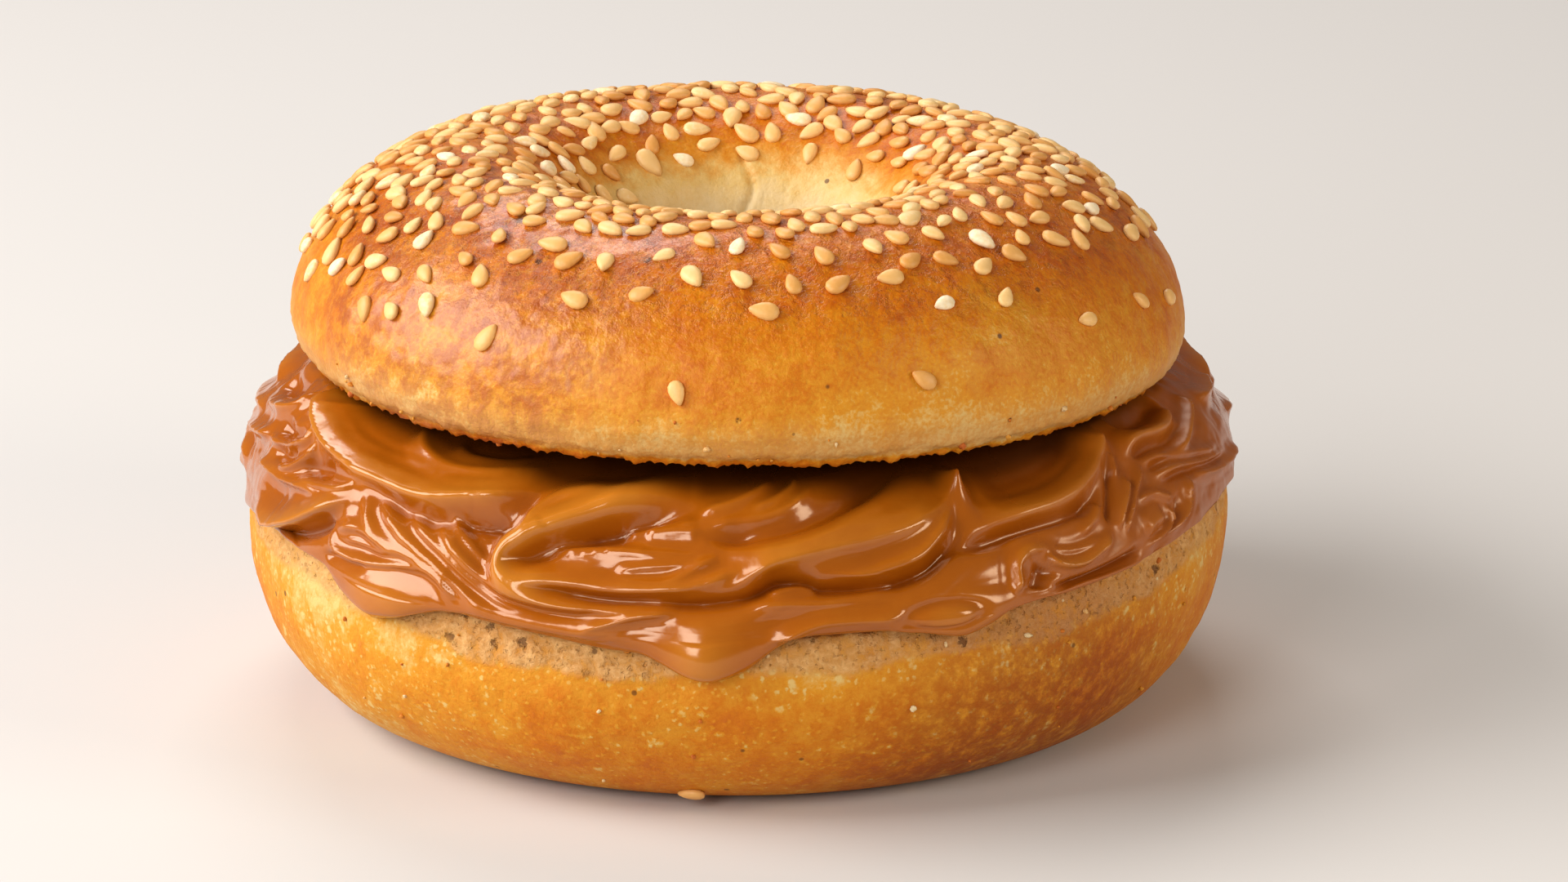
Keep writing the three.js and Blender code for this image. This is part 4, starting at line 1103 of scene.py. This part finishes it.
def hidden_rows(degrees):
    """The faces under the top half, round the hole and on the lower cut face."""
    hang = hang_at(degrees)
    reach = mix(FILLED_LINE[-1, 0], DRAWN_LINE[-1, 0], recess_at(degrees))
    lip_radius, _ = lip_point(degrees, hang)
    gap, inner = SPREAD["clearance"], SPREAD["inner"]
    corner = np.minimum(BOTTOM["rim"], lip_radius) + gap - SPREAD["lip_gap"] / 2

    def below_lid(radius):
        x = radius * np.sin(np.radians(degrees))
        return on_ring(radius, degrees, lid_height(x) - gap)

    def on_cut(radius):
        return on_ring(radius, degrees, cut_height(radius, degrees) + gap)

    edge = on_cut(corner)
    edge[..., 2] = np.where(hang > 0, np.maximum(edge[..., 2], rim_height(degrees) + gap), edge[..., 2])
    bulge = inner - SPREAD["bulge"]
    middle = mix(below_lid(bulge), on_cut(bulge), 0.5)
    return np.concatenate([below_lid((reach + inner) / 2), below_lid(inner), middle, on_cut(inner), edge], 1)


direction = outward(cushion, closed_rows=False)
upward = np.gradient(cushion, axis=1)
upward = upward / np.linalg.norm(upward, axis=-1, keepdims=True)
surface = cushion + direction * relief[..., None] - upward * (SAG * np.maximum(relief, 0))[..., None]
away = unroll(spread_degrees, spread_up) - unroll(np.array(PEAK["middle"]), np.array(PEAK["level"]))
cone = np.clip(1 - np.hypot(away[..., 0], away[..., 1]) / PEAK["reach"], 0, 1) ** PEAK["sharpness"]
surface += cone[..., None] * PEAK["height"] * LEAN
surface_radius = radius_of(surface)
floor = cut_height(surface_radius, spread_degrees) + SPREAD["clearance"]
over_bread = surface_radius < BOTTOM["rim"] + SPREAD["clearance"]
surface[..., 2] = np.where(over_bread, np.maximum(surface[..., 2], floor), surface[..., 2])
at_front = 1 - smoothstep(off_front, *DARK_GAP["angles"])
gap = SPREAD["gap"] * smoothstep(surface_radius, *DARK_GAP["radii"]) * at_front
surface[..., 2] = np.minimum(surface[..., 2], lid_height(surface[..., 0]) - SPREAD["clearance"] - gap)
hidden = hidden_rows(spread_degrees)
spread_grid = np.concatenate([surface, hidden], 1)
ridge = np.concatenate([relief, np.zeros(hidden.shape[:2])], 1)
# painted shade: 1 deep under the top half, where the spread's colour is painted dark
sheltered = 1 - smoothstep(radius_of(spread_grid), 46, 50)
spread = ring_piece("caramel_spread", spread_grid, {"ridge": ridge, "sheltered": sheltered})

# %% [markdown]
# ## The crust's finish
#
# Baked dough browns where the heat reaches it: deep golden brown over the crest, paler
# towards the cut, and nearly white inside the hole, where steam kept it soft. The mesh
# already knows how far each point is from the cut and from the hole. A colour ramp turns
# that into browning, and patchy noise in three sizes breaks it up, since no oven is even and
# one side always stays cooler.

# %% Upper crust finish
CREAM = colour(214, 178, 106)
STRAW = colour(208, 140, 30)
GOLD = colour(198, 112, 8)
AMBER = colour(182, 86, 5)
BROWN = colour(134, 56, 4)
RUSSET = colour(140, 58, 20)
STEAMED = colour(224, 200, 152)
CRUMB = colour(190, 136, 76)
CHAR = colour(70, 30, 8)
CRUST_STOPS = [(0.0, CREAM), (0.25, STRAW), (0.5, GOLD), (0.75, AMBER), (1.0, BROWN)]

COOL_SIDE = (30, -46, 44)  # where the crust browned least
BURNS = [((-24, -27, 62), 1.1), ((-22, -35.5, 59.3), 0.5), ((-10, -39.3, 60.6), 0.6), ((0, -52, 46), 0.35),
         ((28.6, -40.4, 52.2), 0.35), ((29.7, -42.5, 43.3), 0.3), ((-36, -21, 60), 0.5)]  # place and radius

top_finish = Finish("egg_washed_crust")
above = top_finish.number("above_cut")
hole = top_finish.number("in_hole")
patches = top_finish.speckle(10, 3, 0.6)
mottle = top_finish.speckle(2.4, 4, 0.7)
wrinkles = top_finish.speckle(1.0, 3, 0.6)
flecks = top_finish.speckle(0.45, 2, 0.5)
oven = 0.2 + above.between(1, 9) * 0.28 + above.between(11, 21) * 0.17 + above.between(1.1, 0.2) * 0.35
oven = oven - top_finish.near(COOL_SIDE, 12, 22) * above.between(20, 10) * 0.12
baked = oven + (patches - 0.5) * 0.65 + (mottle - 0.5) * 0.7 + (flecks - 0.5) * 0.6
top_colour = top_finish.ramp(baked, CRUST_STOPS)

# %% [markdown]
# Over that comes what a ramp can't give: russet blotches where the egg wash ran thick,
# brown freckles on the crest and pale veins lower down, which are partly painted glints, the
# pale streaky band where the knife pulled at the rim, with small dark dots in it as painted
# shade in its pores, the steamed inside of the hole, burnt specks, and the cut face, which
# is covered with spread and painted darker still as painted shade in the gap. Egg wash
# shines, so roughness falls on the crest, and a thin clear coat lies there, thickest on the
# pool. Most of the shine stays in the base layer, because that layer follows the bumps and
# glitters as baked egg does, while a coat alone would look like wax.

# %% Blotches, freckles and pale veins, partly painted glints
pool = top_finish.near(POOL, 18, 9)
russet = top_finish.speckle(5, 4, 0.75).between(0.52, 0.66) * above.between(9, 17) * 0.3
russet = russet + pool * mottle.between(0.38, 0.62) * 0.5
top_colour = top_finish.blend(russet, top_colour, RUSSET)
freckles = top_finish.speckle(1.5, 4, 0.75).between(0.46, 0.68) * above.between(12, 18) * (1 - hole)
top_colour = top_finish.blend(freckles * 0.4, top_colour, BROWN)
# partly painted glints: pale veins lower down, which also stand for the glints of the crust's small wrinkles
veins_and_glints = top_finish.speckle(0.9, 3, 0.75).between(0.52, 0.66) * above.between(2, 7)
top_colour = top_finish.blend(veins_and_glints * 0.45, top_colour, STRAW)
print("nodes so far:", len(top_finish.nodes))

# %% Rim, hole, burnt specks and shine
# spread on the cut face, painted darker still as painted shade in the gap
SMEAR_AND_SHADE = colour(70, 26, 2)
WALL_STOPS = [(0, STEAMED), (0.55, CREAM), (0.92, STRAW), (1, GOLD)]

rim_streaks = top_finish.speckle(1.4, 3, 0.7, (1, 1, 0.3))
rim_band = (above + rim_streaks * 5).between(9.2, 3.6) * above.between(0.5, 1.4)
top_colour = top_finish.blend(rim_band * (rim_streaks * 0.6 + flecks * 0.7), top_colour, CRUMB)
steamed = hole.between(0.1, 0.8) * (above + mottle * 5).between(24.8, 17.5)
soft_wall = top_finish.ramp((above + mottle * 8).between(13, 25), WALL_STOPS)
top_colour = top_finish.blend(steamed, top_colour, soft_wall)
# real dark specks all over, and in the rim band small dark dots that are painted shade in the crumb's pores
specks_and_pore_shade = top_finish.cells(9).between(0.05, 0.025) + top_finish.cells(3.1).between(0.07, 0.05) * rim_band
burns = sum(top_finish.near(place, size * 0.4, size) for place, size in BURNS) * flecks.between(0.25, 0.5)
top_colour = top_finish.blend((specks_and_pore_shade * 0.7 + burns * 0.8).between(0, 1), top_colour, CHAR)
# the cut face: covered with spread and painted darker still, as painted shade in the gap under the top half
top_colour = top_finish.blend(top_finish.number("smeared"), top_colour, SMEAR_AND_SHADE)
gloss = above.between(8, 18) * (1 - hole * 0.6)
top_bumps = top_finish.bumps(
    (mottle, 0.2),
    (wrinkles * (0.35 + pool * 0.9 + gloss * 0.4), 0.14),
    (flecks * (0.5 + gloss * 0.5), 0.12),
    (rim_streaks * rim_band - freckles * 0.8, 0.14),
)
top_finish.paint(top_half, Base_Color=top_colour, Roughness=0.5 - gloss * 0.18 - pool * 0.06 + mottle * 0.08,
                 Normal=top_bumps, Specular_IOR_Level=0.36, Specular_Tint=(1, 0.86, 0.66, 1),
                 Coat_Weight=gloss * 0.1 + pool * 0.3, Coat_Roughness=0.24)

# %% [markdown]
# The lower half baked on the tray without egg wash. Its flank is orange gold, painted paler
# on the left as painted light from the window there, and darker brown low on the right, with
# pale blisters in clusters and finer pale grains between them, which are partly painted
# glints. A band of torn, pale crumb runs just under the cut, with dark pits painted in as
# painted shade in its pores. The same helpers make it, with other numbers.

# %% Lower crust finish
DARKER_LOW_RIGHT = (37, -47, 0)  # where the crust is darker brown, towards the lower right front
PAINTED_LIGHT_SIDE = (-46, -36, 12)  # where the crust is painted paler, as painted light from the left window
TORN_STOPS = [(0, colour(196, 128, 44)), (0.35, CRUMB), (1, colour(218, 172, 112))]

bottom_finish = Finish("plain_baked_crust")
under = bottom_finish.number("below_cut")
torn_share = bottom_finish.number("torn")
patches = bottom_finish.speckle(9, 3, 0.6)
mottle = bottom_finish.speckle(1.8, 4, 0.7)
grain = bottom_finish.speckle(0.5, 3, 0.6)
clusters = bottom_finish.speckle(5, 2, 0.5).between(0.44, 0.6)
# partly painted glints: pale blisters in clusters and finer pale grains, which also stand for small glints
# on the crust's bumps
blisters_and_glints = (bottom_finish.cells(2.3) + (mottle - 0.5) * 0.7).between(0.3, 0.1) * clusters
grains_and_glints = (bottom_finish.cells(0.95) + (grain - 0.5) * 0.8).between(0.36, 0.1)
blisters_and_glints = blisters_and_glints + grains_and_glints * (0.5 + clusters * 0.4)
# painted light: the crust nearest the left window is painted paler
oven = 0.29 + under.between(3, 10) * 0.16 - bottom_finish.near(PAINTED_LIGHT_SIDE, 6, 26) * 0.18
baked = oven + (patches - 0.5) * 0.7 + (mottle - 0.5) * 0.6 + (grain - 0.5) * 0.3 - blisters_and_glints * 0.28
crusted = bottom_finish.ramp(baked, CRUST_STOPS)
print("nodes so far:", len(bottom_finish.nodes))

# %% Torn crumb, the darker low right, and the pits' painted shade
# painted shade: the pores of the torn crumb are painted a little darker
shaded_pores = bottom_finish.speckle(0.7, 3, 0.65).between(0.57, 0.72)
pale = bottom_finish.ramp((mottle * 1.4 + grain * 0.6).between(0.65, 1.4), TORN_STOPS)
crumb = bottom_finish.blend(shaded_pores * 0.18, pale, AMBER)
crumb_share = (torn_share + (mottle - 0.5) * 0.9 + (patches - 0.5) * 0.6).between(0.1, 1.1)
bottom_colour = bottom_finish.blend(crumb_share * 0.85, crusted, crumb)
# darker brown towards the lower right front
darker_low_right = bottom_finish.near(DARKER_LOW_RIGHT, 12, 22) * mottle.between(0.2, 0.6)
bottom_colour = bottom_finish.blend(darker_low_right * 0.75, bottom_colour, BROWN)
# painted shade: pits in the torn crumb painted nearly black; cells of 6 mm add real dark specks
shaded_pits = (bottom_finish.cells(3.4) + (grain - 0.5) * 0.4).between(0.2, 0.1)
shaded_pits = shaded_pits * torn_share * patches.between(0.45, 0.6)
specks_and_pore_shade = bottom_finish.cells(6).between(0.07, 0.04) + shaded_pits
bottom_colour = bottom_finish.blend(specks_and_pore_shade * 0.7, bottom_colour, CHAR)
bottom_bumps = bottom_finish.bumps(
    (mottle, 0.22),
    (blisters_and_glints, 0.05),
    (grain, 0.08),
    ((mottle + grain * 0.5 - shaded_pores) * torn_share - shaded_pits, 0.16),
)
bottom_finish.paint(bottom_half, Base_Color=bottom_colour, Roughness=0.55 + mottle * 0.2,
                    Normal=bottom_bumps, Specular_IOR_Level=0.3, Specular_Tint=(1, 0.88, 0.72, 1))

# %% [markdown]
# ## The seeds' finish
#
# Toasted sesame is cream to straw, with a few darker and a few almost white seeds, and a
# darker point. The seed's own tone picks the colour.

# %% Sesame finish
SEED_STOPS = [(0.0, colour(214, 148, 68)), (0.35, colour(230, 174, 98)), (0.9, colour(238, 198, 130)),
              (1.0, colour(246, 226, 188))]
SEED_POINT = colour(176, 104, 34)

seed_finish = Finish("toasted_sesame")
tone = seed_finish.number("tone")
tip = seed_finish.number("tip")
grain = seed_finish.speckle(0.5, 2, 0.5)
seed_base = seed_finish.ramp(tone + (grain - 0.5) * 0.2, SEED_STOPS)
seed_colour = seed_finish.blend(tip.between(0.5, 1.0) * 0.35, seed_base, SEED_POINT)
seed_finish.paint(seeds, Base_Color=seed_colour, Roughness=0.4 + grain * 0.15,
                  Normal=seed_finish.bumps((grain, 0.04)))

# %% [markdown]
# Crumbs are bits of crust and of crumb, so each has one of the bread's own colours.

# %% Crumb finish
CRUMB_STOPS = [(0.0, AMBER), (0.3, GOLD), (0.6, STRAW), (1.0, STEAMED)]

crumb_finish = Finish("bread_crumbs")
tone = crumb_finish.number("tone")
grain = crumb_finish.speckle(0.3, 2, 0.6)
crumb_colour = crumb_finish.ramp(tone + (grain - 0.5) * 0.4, CRUMB_STOPS)
crumb_finish.paint(crumbs, Base_Color=crumb_colour, Roughness=0.6 + grain * 0.2,
                   Normal=crumb_finish.bumps((grain, 0.05)))

# %% [markdown]
# ## The spread's finish
#
# Caramel spread is fat and sugar, so it is smooth and glossy, and light enters it a
# little: thin ridges look lighter and hollows deeper. Subsurface light would be slow, so the
# number `ridge` drives the colour instead. This is painted light: ridges are painted lighter
# and hollows darker, which also paints the shade in the creases. Faint streaks keep it from
# being flat, and deep under the top half the spread is painted dark, as painted shade. The
# gloss is broken where the knife dragged the spread away.

# %% Caramel finish
DRAGGED = (52, -30, 32)  # where the knife let go and the gloss is broken
SPREAD_STOPS = [(0.0, colour(114, 48, 2)), (0.2, colour(148, 72, 5)), (0.6, colour(164, 86, 10)),
                (1.0, colour(186, 112, 28))]
# the colour of the painted shade deep under the top half
SHADE = colour(40, 12, 1)

spread_finish = Finish("glossy_caramel")
rise = spread_finish.number("ridge")
streaks = spread_finish.speckle(3.5, 3, 0.6)
silk = spread_finish.speckle(0.9, 2, 0.5)
# painted light: ridges painted lighter and hollows darker, in place of light through thin spread and the
# shade in the creases
spread_colour = spread_finish.ramp((rise + 2) * 0.24 + (streaks - 0.5) * 0.25, SPREAD_STOPS)
# painted shade: deep under the top half the colour is painted nearly black
dark = spread_finish.number("sheltered")
spread_colour = spread_finish.blend(dark * 0.85, spread_colour, SHADE)
dull = spread_finish.near(DRAGGED, 14, 24)
spread_finish.paint(spread, Base_Color=spread_colour, Roughness=0.12 + streaks * 0.08 + dull * 0.2,
                    Normal=spread_finish.bumps((streaks, 0.05), (silk, 0.006)), Specular_IOR_Level=0.72,
                    Specular_Tint=(1, 0.84, 0.66, 1))

# %% [markdown]
# ## Telling the frame which piece is which
#
# Each skin rides on the object's one body and stands for the solid that it covers. The
# seeds and the crumbs stand for nothing of their own: they only ride on the body.

# %% Riding and replacing
for piece, node, slot in [(bottom_half, "bottom_half", "crust"), (spread, "spread", "spread"),
                          (top_half, "top_half", "seeded_crust")]:
    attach(piece, "root")
    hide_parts(node)
    print(piece.name, "replaces", node)
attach(seeds, "root")
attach(crumbs, "root")

# %% [markdown]
# ## A small studio
#
# Food is lit by one big soft window from the left, so that gloss and ridges show. A small
# window at the front puts lights on the drips, one behind lights the seeds on the far
# crest, and a weak warm fill from the right opens the shadows. Each lamp is turned to the
# bagel by one helper. The floor and the world are pale and plain.

# %% Floor, world and lamps
FLOOR_REACH = 9000  # millimetres, so that no edge shows in a low view
ROOM_TINT = (1.0, 0.98, 0.96, 1)
ROOM_LIGHT = 0.12  # faint, so that the windows do the modelling
AIM = Vector((0, 0, 0.035))
WINDOWS = [  # name, place, size, watts, tint
    ("window", (-0.8, -0.12, 0.56), (0.82, 0.64), 13.2, (1, 0.97, 0.96)),
    ("front_window", (-0.36, -0.72, 0.36), (0.3, 0.38), 3.0, (1, 1, 1)),
    ("far_window", (-0.1, 0.62, 0.75), (0.5, 0.34), 3.6, (1, 0.95, 0.93)),
    ("warm_fill", (0.8, -0.36, 0.36), (0.4, 0.34), 3.6, (1, 0.88, 0.72)),
]

floor_corners = np.array([[-1, -1, 0], [1, -1, 0], [1, 1, 0], [-1, 1, 0]]) * FLOOR_REACH
floor_piece = piece_from("floor", floor_corners, [[0, 1, 2, 3]], {})
floor_finish = Finish("pale_table")
floor_finish.paint(floor_piece, Base_Color=(0.66, 0.64, 0.61, 1), Roughness=0.8)

world = bpy.data.worlds.new("soft_room")
bpy.context.scene.world = world
world.use_nodes = True
world.node_tree.nodes["Background"].inputs["Color"].default_value = ROOM_TINT
world.node_tree.nodes["Background"].inputs["Strength"].default_value = ROOM_LIGHT


def window(name, place, size, power, tint):
    light = bpy.data.lights.new(name, "AREA")
    light.shape = "RECTANGLE"
    light.size, light.size_y = size
    light.energy = power
    light.color = tint
    lamp = bpy.data.objects.new(name, light)
    lamp.location = place
    lamp.rotation_euler = (AIM - lamp.location).to_track_quat("-Z", "Y").to_euler()
    bpy.context.scene.collection.objects.link(lamp)
    print(name, "gives", power, "watts")


for row in WINDOWS:
    window(*row)
bpy.context.scene.view_settings.view_transform = "Standard"

# %% [markdown]
# ## The camera
#
# A long lens from a little above flattens the perspective, as in most pictures of food.
# The lens is shifted only to put the bagel where it belongs in the frame.

# %% Camera
CAMERA = dict(elevation=15.7, distance=0.7, target=(0, 0, 0.0402), pixels_per_mm=10.513, width=1920,
              height=1080, centre=(904.2, 418.5), sensor=36)

lens = bpy.data.cameras.new("camera")
camera = bpy.data.objects.new("camera", lens)
bpy.context.scene.collection.objects.link(camera)
tilt = np.radians(CAMERA["elevation"])
back = Vector((0, -np.cos(tilt), np.sin(tilt))) * CAMERA["distance"]
camera.location = Vector(CAMERA["target"]) + back
camera.rotation_euler = (np.pi / 2 - tilt, 0, 0)
lens.sensor_width = CAMERA["sensor"]
focal_pixels = CAMERA["pixels_per_mm"] * CAMERA["distance"] / MM
lens.lens = focal_pixels * CAMERA["sensor"] / CAMERA["width"]
lens.shift_x = (CAMERA["width"] / 2 - CAMERA["centre"][0]) / CAMERA["width"]
lens.shift_y = (CAMERA["centre"][1] - CAMERA["height"] / 2) / CAMERA["width"]
bpy.context.scene.camera = camera
print("lens in mm:", round(lens.lens, 1))
